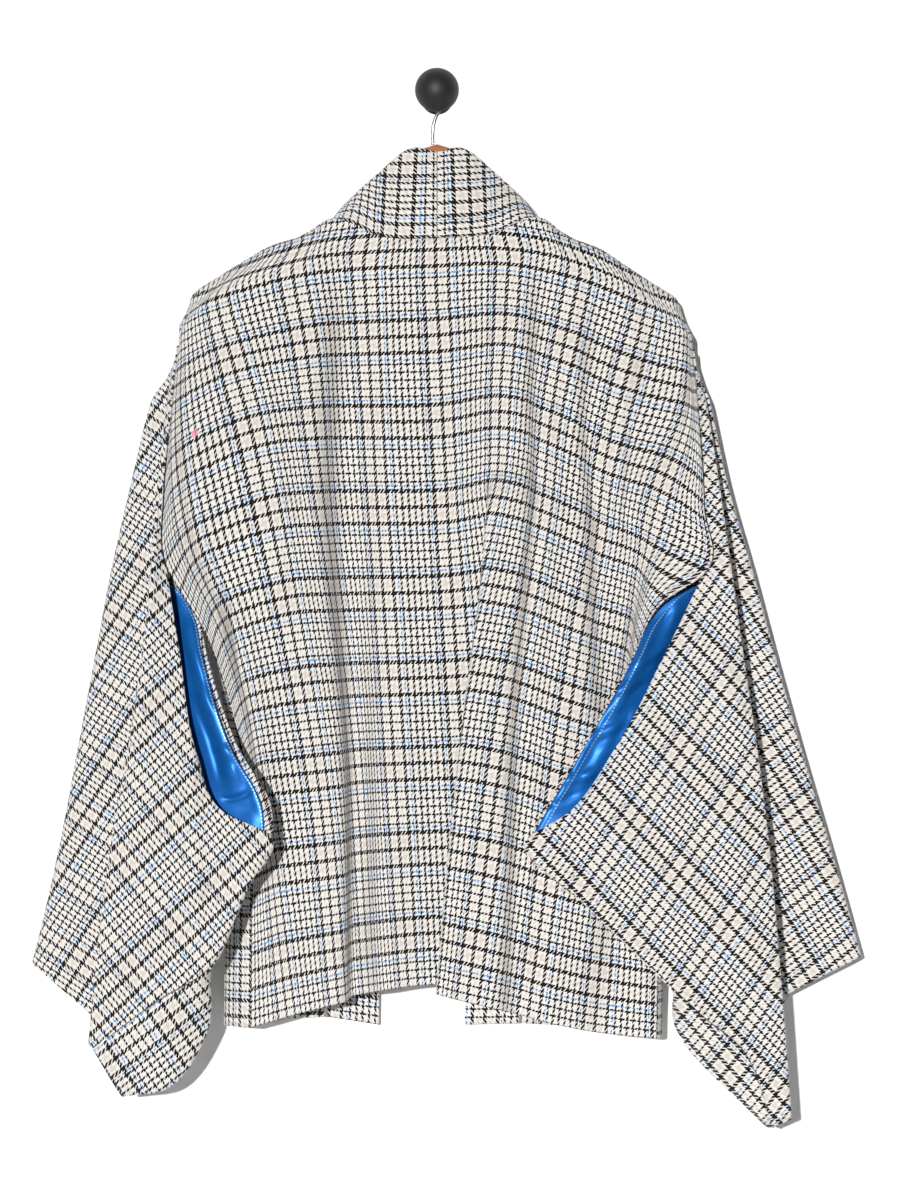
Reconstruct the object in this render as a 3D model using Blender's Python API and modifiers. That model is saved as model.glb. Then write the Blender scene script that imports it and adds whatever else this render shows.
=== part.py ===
"""Kimono jacket in checked wool, hung by a wooden hanger on a round wall knob.

Tables are in millimetres and degrees, the model is in metres. X runs to the viewer's right
along the wall, Z is up, and depth is measured out from the wall, so Y is minus depth.
The viewer sees the back of the jacket. The origin is the middle of the knob's base.
"""
from math import cos, pi, sin

import bmesh
import bpy
import numpy as np

MM = 0.001
OBJECT_NAME = "kimono_jacket"

# Cloth and seams
WOOL = 1.6
SATIN = 1.0
SEAM_GAP = 0.4
SEAM_STEP = WOOL / 2 + SEAM_GAP
RIDGE_STEP = 2.5
BAND_STEP = 1.9

# Back panel: cut width from the middle to each side, and length below the neck seam
BACK_LEFT = -323.0
BACK_RIGHT = 335.0
BACK_LENGTH = 688.0
NECK_Z = -134.0
ROLL_LENGTH = 55.0
FOLDS_LENGTH = 90.0

# Cut of the back's top edge: distance along the weft, drop below the neck seam,
# depth of the edge over the hanger, and the radius it rolls over
TOP_EDGE = (
    # weft, drop, depth, roll
    (0, 0, 62, 0),
    (60, -5, 61, 0),
    (95, -16, 55, 2),
    (108, -19, 49, 8),
    (170, -4, 42, 12),
    (245, 14, 32, 12),
    (335, 47, 34, 8),
)

# How far each weft line has dropped at ten warp lines, by length below the neck
DROOP_WARPS = (-323, -275, -206, -137, 0, 69, 137, 206, 275, 335)
DROOP = (
    # length, then the drop at each warp line
    (0, 44, 42, 30, 11, 0, 0, 12, 35, 48, 50),
    (50, 48, 47, 28, 9, 0, -3, 11, 35, 50, 51),
    (100, 50, 47, 20, 6, 0, -6, 9, 34, 50, 54),
    (170, 66, 45, 11, 2, 0, -8, 6, 33, 51, 77),
    (240, 66, 39, 8, 2, 0, -8, 5, 29, 48, 74),
    (330, 50, 28, 6, 3, 0, -7, 3, 24, 42, 60),
    (500, 28, 18, 10, 5, 0, -2, 6, 25, 42, 55),
    (688, 41, 31, 18, 9, 0, 4, 15, 30, 44, 51),
)

# Outline of the back and its depth off the wall, by length below the neck
BACK_ROWS = (
    # length, left x, middle x, right x, depths: left, half left, middle, half right, right
    (0, -236, -2, 234, 34, 56, 62, 56, 34),
    (47, -239, -1, 236, 42, 61, 63, 61, 42),
    (100, -243, 2, 240, 66, 65, 62, 66, 64),
    (170, -250, 5, 245, 82, 69, 61, 70, 82),
    (240, -247, 9, 241, 86, 71, 61, 73, 87),
    (300, -219, 12, 192, 82, 72, 61, 75, 82),
    (400, -188, 18, 188, 70, 73, 61, 76, 68),
    (500, -170, 24, 195, 62, 73, 61, 76, 61),
    (600, -171, 28, 203, 58, 74, 61, 77, 59),
    (688, -172, 30, 202, 56, 75, 61, 78, 58),
)
DEPTH_WARPS = (-323, -160, 0, 160, 335)

# Folds of the back. Each falls away from the viewer at its first warp line and comes back at its second.
FOLD_LENGTHS = (0, 100, 300, 500, 688)
FOLDS = (
    # first warp and its shift to the hem, second warp, widths, steepest turn at each length
    dict(first=-292, first_shift=0, second=-256, second_shift=-4, widths=(20, 22), turn=(0, 18, 38, 30, 12)),
    dict(first=-174, first_shift=6, second=-118, second_shift=6, widths=(32, 44), turn=(2, 14, 46, 62, 70)),
    dict(first=133, first_shift=26, second=172, second_shift=20, widths=(24, 30), turn=(4, 24, 50, 46, 34)),
    dict(first=207, first_shift=14, second=240, second_shift=12, widths=(22, 26), turn=(4, 26, 42, 36, 28)),
    dict(first=264, first_shift=6, second=292, second_shift=6, widths=(20, 24), turn=(4, 34, 46, 30, 14)),
)

# Knife fold right of the middle: the right part lies over the left by this much
PLEAT_ROWS = (
    # length, warp line of the inner edge, overlap
    (0, 60, 0),
    (225, 57, 0),
    (335, 52, 30),
    (450, 46, 47),
    (570, 40, 56),
    (688, 39, 57),
)
PLEAT_TURN = 8.0
PLEAT_MARGIN = 10.4
WALK_STEPS = 700

# The sides turn away from the viewer, which narrows the cloth there
SIDE_TURN_FROM = 240.0
SIDE_TURN_FULL = 272.0
SIDE_ROWS = (
    # length, left turn, right turn
    (0, 83, 84),
    (60, 66, 70),
    (170, 48, 50),
    (330, 52, 66),
    (500, 66, 40),
    (688, 40, 10),
)

# Sleeves: tracks down the sleeve from the shoulder (0) past the underarm (0.45) and the opening's
# corner (0.75) to the wrist (1). The inner edge above the underarm follows the armhole.
UNDERARM = 0.45
CORNER = 0.75
UNDERARM_LENGTH = 244.0
SLEEVE_TOP = 51.0
FRONT_TOP = 0.012
FRONT_UNDERARM = 0.31
FOLD_ROUND = 4.5
ROUND_START = 0.1
ROUND_FULL = 0.3
SLEEVE_EASE = 0.16
SLEEVE_BULGE = 4.0
SLEEVE_TRACKS = {
    "left": dict(
        # station, x, z, depth
        inner=((0.45, -247, -447, 87), (0.55, -235, -517, 100), (0.65, -219, -608, 110),
               (0.71, -196, -660, 117), (0.75, -150, -685, 118), (0.80, -172, -730, 112),
               (0.87, -206, -802, 105), (0.93, -255, -834, 101), (1.0, -321, -879, 92)),
        fold=((0, -243, -235, 40), (0.15, -249, -290, 58), (0.30, -256, -362, 77), (0.45, -262, -446, 90),
              (0.55, -269, -515, 96), (0.65, -281, -600, 100), (0.75, -297, -690, 100),
              (0.87, -311, -795, 97), (1.0, -325, -876, 88)),
        under=((0, -244, -235, 37), (0.15, -249, -290, 49), (0.30, -246, -362, 63), (0.45, -258, -446, 77),
               (0.55, -262, -516, 79), (0.65, -266, -600, 79), (0.75, -273, -690, 79), (0.87, -287, -795, 77),
               (1.0, -300, -866, 72)),
        outer=((0, -245, -234, 35), (0.15, -264, -284, 42), (0.30, -282, -358, 44), (0.45, -302, -447, 45),
               (0.55, -315, -517, 46), (0.65, -330, -597, 47), (0.75, -345, -678, 47),
               (0.87, -357, -752, 46), (1.0, -367, -804, 45)),
        heel=((0, -244, -234, 32), (0.15, -256, -286, 20), (0.30, -264, -360, 16), (0.45, -275, -450, 16),
              (0.75, -295, -700, 16), (0.87, -304, -800, 16), (1.0, -318, -842, 20)),
        roll=((0, -243, -234, 31), (0.15, -245, -286, 18), (0.30, -246, -360, 20), (0.45, -256, -449, 40),
              (0.55, -247, -520, 64), (0.65, -240, -606, 72), (0.75, -226, -700, 78), (0.82, -208, -748, 80),
              (0.87, -208, -806, 78), (0.93, -205, -876, 72), (0.97, -240, -927, 68), (1.0, -286, -934, 62)),
        edge=((0.45, -249, -447, 62), (0.50, -236, -478, 84), (0.55, -215, -515, 95), (0.65, -181, -604, 104),
              (0.71, -152, -654, 108), (0.75, -149, -686, 115)),
    ),
    "right": dict(
        inner=((0.45, 242, -449, 88), (0.55, 206, -522, 102), (0.65, 162, -604, 112),
               (0.71, 122, -660, 118), (0.75, 80, -691, 120), (0.80, 134, -744, 116),
               (0.87, 200, -808, 108), (0.93, 243, -848, 104), (0.97, 287, -890, 96), (1.0, 308, -952, 86)),
        fold=((0, 239, -237, 40), (0.15, 248, -287, 58), (0.30, 258, -358, 82), (0.45, 270, -446, 92),
              (0.55, 280, -520, 96), (0.65, 292, -602, 98), (0.75, 303, -691, 99),
              (0.87, 313, -800, 97), (1.0, 325, -944, 84)),
        under=((0, 240, -237, 37), (0.15, 247, -289, 49), (0.30, 247, -358, 64), (0.45, 261, -446, 75),
               (0.55, 268, -520, 77), (0.65, 274, -602, 77), (0.75, 281, -688, 77), (0.87, 289, -765, 75),
               (1.0, 300, -846, 70)),
        outer=((0, 241, -236, 35), (0.15, 252, -284, 41), (0.30, 269, -362, 44), (0.45, 293, -446, 45),
               (0.55, 313, -521, 46), (0.65, 336, -603, 47), (0.75, 361, -688, 47),
               (0.87, 377, -744, 46), (1.0, 392, -798, 45)),
        heel=((0, 240, -236, 32), (0.15, 247, -286, 20), (0.30, 256, -360, 16), (0.45, 266, -450, 16),
              (0.75, 300, -700, 16), (0.87, 312, -790, 16), (1.0, 322, -828, 20)),
        roll=((0, 239, -236, 31), (0.15, 242, -286, 18), (0.30, 244, -358, 20), (0.45, 254, -450, 40),
              (0.55, 232, -524, 56), (0.65, 236, -606, 64), (0.75, 236, -700, 74), (0.82, 232, -752, 80),
              (0.87, 224, -812, 80), (0.93, 215, -866, 76), (0.97, 243, -905, 72), (1.0, 300, -951, 66)),
        edge=((0.45, 244, -449, 62), (0.50, 216, -484, 84), (0.55, 180, -520, 97), (0.65, 132, -604, 107),
              (0.71, 100, -657, 112), (0.75, 80, -692, 117)),
    ),
}

# Fronts: armhole edge and front edge down the panel from the shoulder (0) to the hem (1)
FRONT_TRACKS = {
    "left": dict(
        armhole=((0, -240, -227, 32), (0.08, -238, -275, 18), (0.20, -237, -350, 19), (0.28, -241, -412, 38),
                 (0.33, -246, -449, 63)),
        front=((0, -104, -119, 47), (0.05, -104, -150, 24), (0.15, -101, -220, 14), (0.4, -95, -400, 12),
               (0.7, -92, -620, 14), (1.0, -88, -856, 16)),
        bulge=((0, -10), (0.31, -10), (0.40, 2), (0.5, 8), (0.75, 22), (0.9, 30), (1.0, 30)),
    ),
    "right": dict(
        armhole=((0, 236, -229, 32), (0.08, 236, -276, 18), (0.20, 236, -350, 19), (0.28, 239, -414, 38),
                 (0.33, 241, -452, 63)),
        front=((0, 104, -119, 47), (0.05, 104, -150, 24), (0.15, 102, -220, 14), (0.4, 97, -400, 12),
               (0.7, 94, -620, 14), (1.0, 90, -862, 16)),
        bulge=((0, -10), (0.31, -10), (0.40, 2), (0.5, 5), (0.75, 8), (0.9, 10), (1.0, 10)),
    ),
}
SIDE_SEAM_TOP = 258.0
SIDE_SEAM_EASE = 0.02
FRONT_BACK_DEPTH = 13.0
FRONT_WAVE = 5.0
FRONT_ROLL = 10.0
FRONT_EASE = 0.12

# Collar band's free edge, from the centre back (0) round the neck and down the front (1)
COLLAR_NECK = 0.18
COLLAR_FRONT = 0.20
NECK_WEFT = 104.0
BAND_BOW = 5.0
COLLAR_FREE = (
    # station, x, z, depth
    (0.0, 0.2, -55, 60),
    (0.06, 25, -55, 59),
    (0.11, 52, -77, 48),
    (0.16, 74, -94, 34),
    (0.20, 84, -106, 18),
    (0.26, 70, -150, 9),
    (0.40, 58, -252, 8),
    (0.65, 48, -472, 8),
    (0.85, 42, -694, 9),
    (1.0, 40, -864, 10),
)

# Grids. The back's columns are counted left of its knife fold, in the fold and right of it.
# The lining that shows in a sleeve's opening covers the sleeve's last columns, from one row on.
BACK_COLUMNS = (17, 12, 15)
BODY_ROWS = 20
FRONT_COLUMNS = 10
BAND_COLUMNS = 3
BAND_ROWS = 18
SLEEVE_COLUMNS = 36
SLEEVE_ROWS = 20
LINING_COLUMNS = 4
LINING_ROWS = 4
LINING_TOP = 10

# Hanger: its middle by x, and each arm under the shoulder by the weft line above it
HANGER_CLEAR = 3.2
HANGER_DEPTH = 46.0
HANGER_SIDES = 12
HANGER_SQUARE = 0.6
HANGER_MIDDLE = (
    # x, top z, height, depth of its middle, thickness
    (-46, -96, 30, 47, 11),
    (-20, -53, 42, 48, 12),
    (0, -47, 40, 48, 12),
    (20, -53, 42, 48, 12),
    (46, -96, 30, 47, 11),
)
HANGER_ARM = (
    # weft line, height, thickness, extra drop
    (84, 26, 11, 8),
    (125, 26, 11, 5),
    (170, 26, 11, 1),
    (208, 23, 11, 0.3),
    (236, 20, 10, 0.3),
    (246, 8, 6, 8),
)

# Hook wire and its route from the wood up and over the knob's stem
WIRE = 3.0
HOOK_ROUTE = (
    # x, z
    (-4, -47.3), (-4, -38), (-3, -28), (1, -18), (8, -10), (10.4, -2), (7.2, 5.2),
    (0, 8.1), (-7.2, 5.2), (-10.2, -2), (-8.6, -8),
)
HOOK_DEPTH = 48.0
HOOK_POINTS = 33

# Knob: ball on a stem with a round base on the wall
BALL_RADIUS = 20.2
BALL_DEPTH = 80.0
STEM_RADIUS = 6.2
BASE_RADIUS = 15.0
BASE_THICK = 5.0
KNOB_SIDES = 24
BALL_POINTS = 13


def track(rows, at, column):
    """Smooth curve through one column of a table, by its first column."""
    table = np.array([[row[0], row[column]] for row in rows], float)
    places = table[:, 0]
    values = table[:, 1]
    slopes = np.gradient(values, places)
    at = np.clip(at, places[0], places[-1])
    i = np.clip(np.searchsorted(places, at, side="right") - 1, 0, len(places) - 2)
    width = places[i + 1] - places[i]
    f = (at - places[i]) / width
    start = values[i] * (1 + 2 * f) * (1 - f) ** 2 + slopes[i] * width * f * (1 - f) ** 2
    end = values[i + 1] * f * f * (3 - 2 * f) + slopes[i + 1] * width * f * f * (f - 1)
    return start + end


def track_point(rows, at):
    """Point (x, depth, z) on a track of (station, x, z, depth) rows."""
    return np.stack([track(rows, at, 1), track(rows, at, 3), track(rows, at, 2)], -1)


def smooth(f):
    """Step from 0 to 1 with level ends."""
    f = np.clip(f, 0, 1)
    return f * f * (3 - 2 * f)


def hump(f):
    """Soft hump that is 1 at 0 and 0 beyond -1 and 1."""
    return 0.5 + 0.5 * np.cos(pi * np.clip(f, -1, 1))


def across(warps, rows, weft, length, first=1):
    """Value between table columns set at warp lines, on the row at a length."""
    columns = np.stack([track(rows, length, first + k) for k in range(len(warps))])
    warps = np.array(warps, float)
    slopes = np.gradient(columns, warps, axis=0)
    i = np.clip(np.searchsorted(warps, weft, side="right") - 1, 0, len(warps) - 2)
    width = warps[i + 1] - warps[i]
    f = np.clip((weft - warps[i]) / width, 0, 1)

    def pick(table, index):
        return np.take_along_axis(table, index[None], 0)[0]

    start = pick(columns, i) * (1 + 2 * f) * (1 - f) ** 2 + pick(slopes, i) * width * f * (1 - f) ** 2
    end = pick(columns, i + 1) * f * f * (3 - 2 * f) + pick(slopes, i + 1) * width * f * f * (f - 1)
    return start + end


def back_drop(weft):
    """Length below the neck seam at which the back's top edge is cut."""
    return track(TOP_EDGE, np.abs(weft), 1)


def back_height(weft, length):
    """Height of the back's cloth: down its length, less the drop of the weft line."""
    return NECK_Z - length - across(DROOP_WARPS, DROOP, weft, length)


def back_depth(weft, length):
    """Depth of the back without its folds: over the hanger's edge, then down the table's rows."""
    below = length - back_drop(weft)
    roll = track(TOP_EDGE, np.abs(weft), 3)
    reach = np.clip(below, 0, roll)
    over = track(TOP_EDGE, np.abs(weft), 2) + np.sqrt(np.maximum(2 * roll * reach - reach ** 2, 0))
    return over + (across(DEPTH_WARPS, BACK_ROWS, weft, length, 4) - over) * smooth(below / ROLL_LENGTH)


def back_edge(side, length):
    """Point (x, depth, z) on a side edge of the back."""
    weft = np.full_like(length, BACK_LEFT if side == "left" else BACK_RIGHT)
    x = track(BACK_ROWS, length, 1 if side == "left" else 3)
    return np.stack([x, back_depth(weft, length), back_height(weft, length)], -1)


def pleat_overlap(length):
    """How far the knife fold laps over, none near the top."""
    return np.maximum(track(PLEAT_ROWS, length, 2), 0)


def back_turn(weft, length):
    """Angle of the cloth across the back, seen from above: folds, then the knife fold's two turns."""
    turn = np.zeros_like(weft)
    low = length / BACK_LENGTH
    for fold in FOLDS:
        steep = np.radians(np.interp(length, FOLD_LENGTHS, fold["turn"]))
        away, back = fold["widths"]
        easier = np.arcsin(np.sin(steep) * away / back)
        turn -= steep * hump((weft - fold["first"] - fold["first_shift"] * low) / away)
        turn += easier * hump((weft - fold["second"] - fold["second_shift"] * low) / back)
    inner = track(PLEAT_ROWS, length, 1)
    outer = inner + pleat_overlap(length)
    turned = smooth((weft - inner) / PLEAT_TURN / 2 + 0.5) - smooth((weft - outer) / PLEAT_TURN / 2 + 0.5)
    return turn + pi * turned


def back_weft(a, length):
    """Weft distance of a column: columns crowd at the knife fold."""
    inner = track(PLEAT_ROWS, length, 1) - PLEAT_MARGIN
    outer = inner + pleat_overlap(length) + 2 * PLEAT_MARGIN
    left, fold, right = np.array(BACK_COLUMNS, float) / sum(BACK_COLUMNS)
    f = np.clip(a / left, 0, 1)
    g = np.clip((a - left) / fold, 0, 1)
    h = np.clip((a - left - fold) / right, 0, 1)
    return BACK_LEFT + (inner - BACK_LEFT) * f + (outer - inner) * g + (BACK_RIGHT - outer) * h


def back_row(share):
    """One row of the back, walked along the weft, turning with the folds, and fitted to the outline.

    Gives the weft places walked, the points (x, depth, z) there, and the length at the middle.
    """
    weft = np.linspace(BACK_LEFT, BACK_RIGHT, WALK_STEPS)
    middle = np.argmin(np.abs(weft))
    top = back_drop(weft)
    length = top + share * (BACK_LENGTH - top)
    height = back_height(weft, length)
    stride = np.hypot(np.gradient(weft), np.gradient(length))
    stride = np.sqrt(np.maximum(stride ** 2 - np.gradient(height) ** 2, (0.2 * stride) ** 2))
    turn = back_turn(weft, length) * smooth((length - top) / FOLDS_LENGTH)
    side = np.where(weft < 0, track(SIDE_ROWS, length, 1), track(SIDE_ROWS, length, 2))
    turned = smooth((np.abs(weft) - SIDE_TURN_FROM) / (SIDE_TURN_FULL - SIDE_TURN_FROM))
    x = np.cumsum(stride * np.cos(turn) * np.cos(np.radians(side * turned)))
    out = np.cumsum(stride * np.sin(turn))
    x -= x[middle]
    out -= out[middle]
    mid_x = track(BACK_ROWS, length[middle], 2)
    left = track(BACK_ROWS, length[0], 1) - mid_x
    right = track(BACK_ROWS, length[-1], 3) - mid_x
    x = mid_x + np.where(weft < 0, x * left / x[0], x * right / x[-1])
    out -= np.where(weft < 0, out[0] * weft / BACK_LEFT, out[-1] * weft / BACK_RIGHT)
    depth = back_depth(weft, length) + out
    return weft, np.stack([x, depth, height], -1), length[middle]


def back_panel(a, b):
    """Back: rows from the top edge to the hem, read at the grid's columns."""
    points = np.zeros(a.shape + (3,))
    for row in range(a.shape[0]):
        weft, walked, length = back_row(b[row, 0])
        at = back_weft(a[row], length)
        points[row] = np.stack([np.interp(at, weft, walked[:, k]) for k in range(3)], -1)
    return points


def back_top(weft):
    """Point (x, depth, z) on the back's top edge."""
    walked, points, _ = back_row(0.0)
    return np.stack([np.interp(weft, walked, points[:, k]) for k in range(3)], -1)


def section(controls, a):
    """Rounded line through a section: parabolas between the middles of the control points' spans."""
    controls = np.stack(controls)
    count = len(controls)
    u = np.clip(a, 0, 1) * (count - 2)
    i = np.minimum(u.astype(int), count - 3)
    f = (u - i)[..., None]

    def pick(index):
        return np.take_along_axis(controls, index[None, ..., None], 0)[0]

    start = np.where((i == 0)[..., None], pick(i), (pick(i) + pick(i + 1)) / 2)
    end = np.where((i == count - 3)[..., None], pick(i + 2), (pick(i + 1) + pick(i + 2)) / 2)
    return start * (1 - f) ** 2 + pick(i + 1) * 2 * f * (1 - f) + end * f * f


def front_side(side, b):
    """Side edge of a front: the armhole, then the side seam just inside the back's edge."""
    armhole = FRONT_TRACKS[side]["armhole"]
    start = armhole[-1][0] + SIDE_SEAM_EASE
    upper = track_point(armhole, b)
    length = SIDE_SEAM_TOP + np.clip((b - start) / (1 - start), 0, 1) * (BACK_LENGTH - SIDE_SEAM_TOP)
    seam = back_edge(side, length) - [0, 1.5 * SEAM_STEP, 0]
    return upper + (seam - upper) * smooth((b - start) / SIDE_SEAM_EASE + 1)[..., None]


def front_edge(side, b):
    """Front edge of a front, where the band is sewn: from the back's neck point down to the hem."""
    outward = -1 if side == "left" else 1
    edge = track_point(FRONT_TRACKS[side]["front"], b)
    start = back_top(outward * NECK_WEFT) - [0, RIDGE_STEP, 0] - track_point(FRONT_TRACKS[side]["front"], 0.0)
    return edge + start * (1 - smooth(b / FRONT_EASE))[..., None]


def front_panel(side, a, b):
    """Front: rolled over the hanger from the back's top edge, then sections from the side to the band."""
    outward = -1 if side == "left" else 1
    edge = front_side(side, b)
    away = np.array([RIDGE_STEP * outward, 0, 0])
    front = front_edge(side, b) + away
    bulge = track(FRONT_TRACKS[side]["bulge"], b, 1)
    round_x = edge[..., 0] + outward * bulge
    deep = FRONT_BACK_DEPTH + FRONT_WAVE * np.sin(b * 5)

    def between(share, depth):
        x = round_x + (front[..., 0] - round_x) * share
        z = edge[..., 2] + (front[..., 2] - edge[..., 2]) * share
        return np.stack([x, depth + 0 * x, z], -1)

    heel = np.stack([round_x, edge[..., 1] * 0.6 + deep * 0.4, edge[..., 2]], -1)
    controls = [edge, heel, between(0.12, deep), between(0.4, deep + FRONT_WAVE), between(0.7, deep - 2),
                front]
    hung = section(controls, a)
    weft = (1 - a) * (BACK_LEFT if side == "left" else BACK_RIGHT) + a * outward * NECK_WEFT
    side_shift = edge - front_side(side, 0 * b)
    front_shift = front - front_edge(side, 0 * b)
    shift = side_shift * (1 - a)[..., None] + front_shift * a[..., None]
    ridge = back_top(weft) - [0, RIDGE_STEP, 0] + shift
    reach = np.clip(b * BACK_LENGTH, 0, FRONT_ROLL)
    middle = smooth(a * 6) * smooth((1 - a) * 6)
    ridge[..., 1] -= np.sqrt(2 * FRONT_ROLL * reach - reach ** 2) * middle
    return ridge + (hung - ridge) * smooth(b / FRONT_EASE)[..., None]


def sleeve_controls(side, b):
    """Control points across a sleeve, from the back's armhole round the wrist tube to the front's."""
    tracks = SLEEVE_TRACKS[side]
    outward = -1 if side == "left" else 1
    share = np.clip(b / UNDERARM, 0, 1)
    above = (b < UNDERARM)[..., None]
    step = np.array([SEAM_STEP * outward, 0, 0])
    seam_back = back_edge(side, SLEEVE_TOP + (UNDERARM_LENGTH - SLEEVE_TOP) * share) + step
    seam_front = front_side(side, FRONT_TOP + (FRONT_UNDERARM - FRONT_TOP) * share) + step
    inner = np.where(above, seam_back, track_point(tracks["inner"], b))
    fold = track_point(tracks["fold"], b)
    under = track_point(tracks["under"], b)
    outer = track_point(tracks["outer"], b)
    heel = track_point(tracks["heel"], b)
    roll = track_point(tracks["roll"], b)
    sewn = track_point(tracks["inner"], b) - [0, 2 * SEAM_STEP, SEAM_STEP]
    loose = track_point(tracks["edge"], b)
    edge = np.where(above, seam_front, np.where((b < CORNER)[..., None], loose, sewn))
    size = np.clip(ROUND_START + b / ROUND_FULL, 0, 1)[..., None]
    out = np.array([0, FOLD_ROUND, 0]) * size
    turn = out * 2 * size
    hung = [inner, (inner + fold) / 2 + out * 0.4, fold + out, fold - out, under + out, under - out,
            (under + outer) / 2, outer + turn, outer - turn, heel, (heel + roll) / 2 - out,
            roll - out, (roll + edge) / 2 + out, edge]
    ease = smooth(b / SLEEVE_EASE)[..., None]
    bulge = np.array([SLEEVE_BULGE * outward, 0, 0])
    controls = []
    for k, point in enumerate(hung):
        place = k / (len(hung) - 1)
        arc = inner + (edge - inner) * place + bulge * sin(pi * place)
        controls.append(arc + (point - arc) * ease)
    return controls


def sleeve(side, a, b):
    """Sleeve: sections from the shoulder to the wrist."""
    return section(sleeve_controls(side, b), a)


def moved_out(points, distance):
    """The same grid of points, moved along its surface's normals."""
    along = np.gradient(points, axis=1)
    down = np.gradient(points, axis=0)
    normal = np.cross(along, down)
    normal /= np.linalg.norm(normal, axis=-1, keepdims=True)
    return points + normal * distance


def lining(side, a, b):
    """Lining: the sleeve's front layer at its opening, moved to the inside."""
    columns = 1 - (1 - a) * LINING_COLUMNS / SLEEVE_COLUMNS
    rows = (LINING_TOP + b * LINING_ROWS) / SLEEVE_ROWS
    points = sleeve(side, columns, rows)
    inside = 1 if side == "left" else -1
    return moved_out(points, inside * (WOOL / 2 + SATIN / 2 + SEAM_GAP))


def collar_seam(side, b):
    """Seam edge of the band: along the back's neck edge, then down the front's edge."""
    outward = -1 if side == "left" else 1
    weft = NECK_WEFT * np.clip(b / COLLAR_NECK, 0, 1)
    neck = back_top(weft * outward) + [0, 0, BAND_STEP]
    neck[..., 0] -= back_top(0.0)[0] * (1 - smooth(b / COLLAR_NECK))
    share = np.clip((b - COLLAR_FRONT) / (1 - COLLAR_FRONT), 0, 1)
    front = front_edge(side, share)
    ease = smooth((b - COLLAR_NECK) / (COLLAR_FRONT - COLLAR_NECK))[..., None]
    return neck + (front - neck) * ease


def collar(side, a, b):
    """Half of the collar band: straight across from its seam to its free edge, with a soft bow."""
    outward = -1 if side == "left" else 1
    seam = collar_seam(side, b) + np.array([SEAM_GAP / 2 * outward, 0, 0])
    free = track_point(COLLAR_FREE, b) * [outward, 1, 1]
    points = seam + (free - seam) * a[..., None]
    points[..., 1] += BAND_BOW * np.sin(pi * a) * (1 - smooth(b / COLLAR_FRONT))
    return points


def material(name, colour, roughness, metallic=0.0):
    """Plain finish of one piece."""
    finish = bpy.data.materials.new(name)
    finish.use_nodes = True
    shader = finish.node_tree.nodes["Principled BSDF"]
    shader.inputs["Base Color"].default_value = (*colour, 1)
    shader.inputs["Roughness"].default_value = roughness
    shader.inputs["Metallic"].default_value = metallic
    return finish


def add_object(name, data, finish):
    """Puts a mesh or curve into the object's collection, with its finish."""
    data.materials.append(finish)
    piece = bpy.data.objects.new(name, data)
    parts.objects.link(piece)
    return piece


def cloth_piece(name, columns, rows, surface, thickness, finish):
    """A flat grid of cloth, bent to a surface and given its thickness."""
    mesh = bpy.data.meshes.new(name)
    bm = bmesh.new()
    bmesh.ops.create_grid(bm, x_segments=columns, y_segments=rows, size=0.5)
    grid = sorted(bm.verts, key=lambda v: (round(v.co.y, 5), round(v.co.x, 5)))
    a = np.array([v.co.x + 0.5 for v in grid]).reshape(rows + 1, columns + 1)
    b = np.array([v.co.y + 0.5 for v in grid]).reshape(rows + 1, columns + 1)
    points = surface(a, b).reshape(-1, 3)
    for vert, (x, depth, z) in zip(grid, points):
        vert.co = (x * MM, -depth * MM, z * MM)
    bm.to_mesh(mesh)
    bm.free()
    mesh.shade_smooth()
    piece = add_object(name, mesh, finish)
    solid = piece.modifiers.new("thickness", "SOLIDIFY")
    solid.thickness = thickness * MM
    solid.offset = 0
    return piece


def body_rows(b):
    """Rows of the back and fronts: close over the hanger and round the armhole, wider below."""
    return np.interp(b, (0, 0.22, 0.65, 1), (0, 0.05, 0.45, 1))


def band_rows(b):
    """Rows of the band: close round the neck, wider down the front."""
    return np.interp(b, (0, 0.45, 0.6, 1), (0, COLLAR_NECK, 0.26, 1))


def hanger_mesh():
    """Wooden hanger: rounded upright sections from one tip to the other, joined in a loft."""
    arms = {}
    for hand, outward in (("left", -1), ("right", 1)):
        arms[hand] = []
        for weft, height, thick, drop in HANGER_ARM:
            x, depth, z = back_top(outward * float(weft))
            depth = min(depth - RIDGE_STEP / 2, HANGER_DEPTH)
            arms[hand].append((x, z - HANGER_CLEAR - drop, height, depth, thick))
    rows = arms["left"][::-1] + list(HANGER_MIDDLE) + arms["right"]
    bm = bmesh.new()
    rings = []
    for x, top, height, depth, thick in rows:
        ring = []
        for k in range(HANGER_SIDES):
            angle = 2 * pi * (k + 0.5) / HANGER_SIDES
            across_y = thick / 2 * np.sign(cos(angle)) * abs(cos(angle)) ** HANGER_SQUARE
            up_z = height / 2 * np.sign(sin(angle)) * abs(sin(angle)) ** HANGER_SQUARE
            centre = top - height / 2
            ring.append(bm.verts.new((x * MM, -(depth + across_y) * MM, (centre + up_z) * MM)))
        rings.append(ring)
    for first, second in zip(rings, rings[1:]):
        for k in range(HANGER_SIDES):
            after = (k + 1) % HANGER_SIDES
            bm.faces.new((first[k], first[after], second[after], second[k]))
    bm.faces.new(rings[0])
    bm.faces.new(reversed(rings[-1]))
    bmesh.ops.recalc_face_normals(bm, faces=bm.faces)
    mesh = bpy.data.meshes.new("hanger")
    bm.to_mesh(mesh)
    bm.free()
    mesh.shade_smooth()
    return mesh


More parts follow.
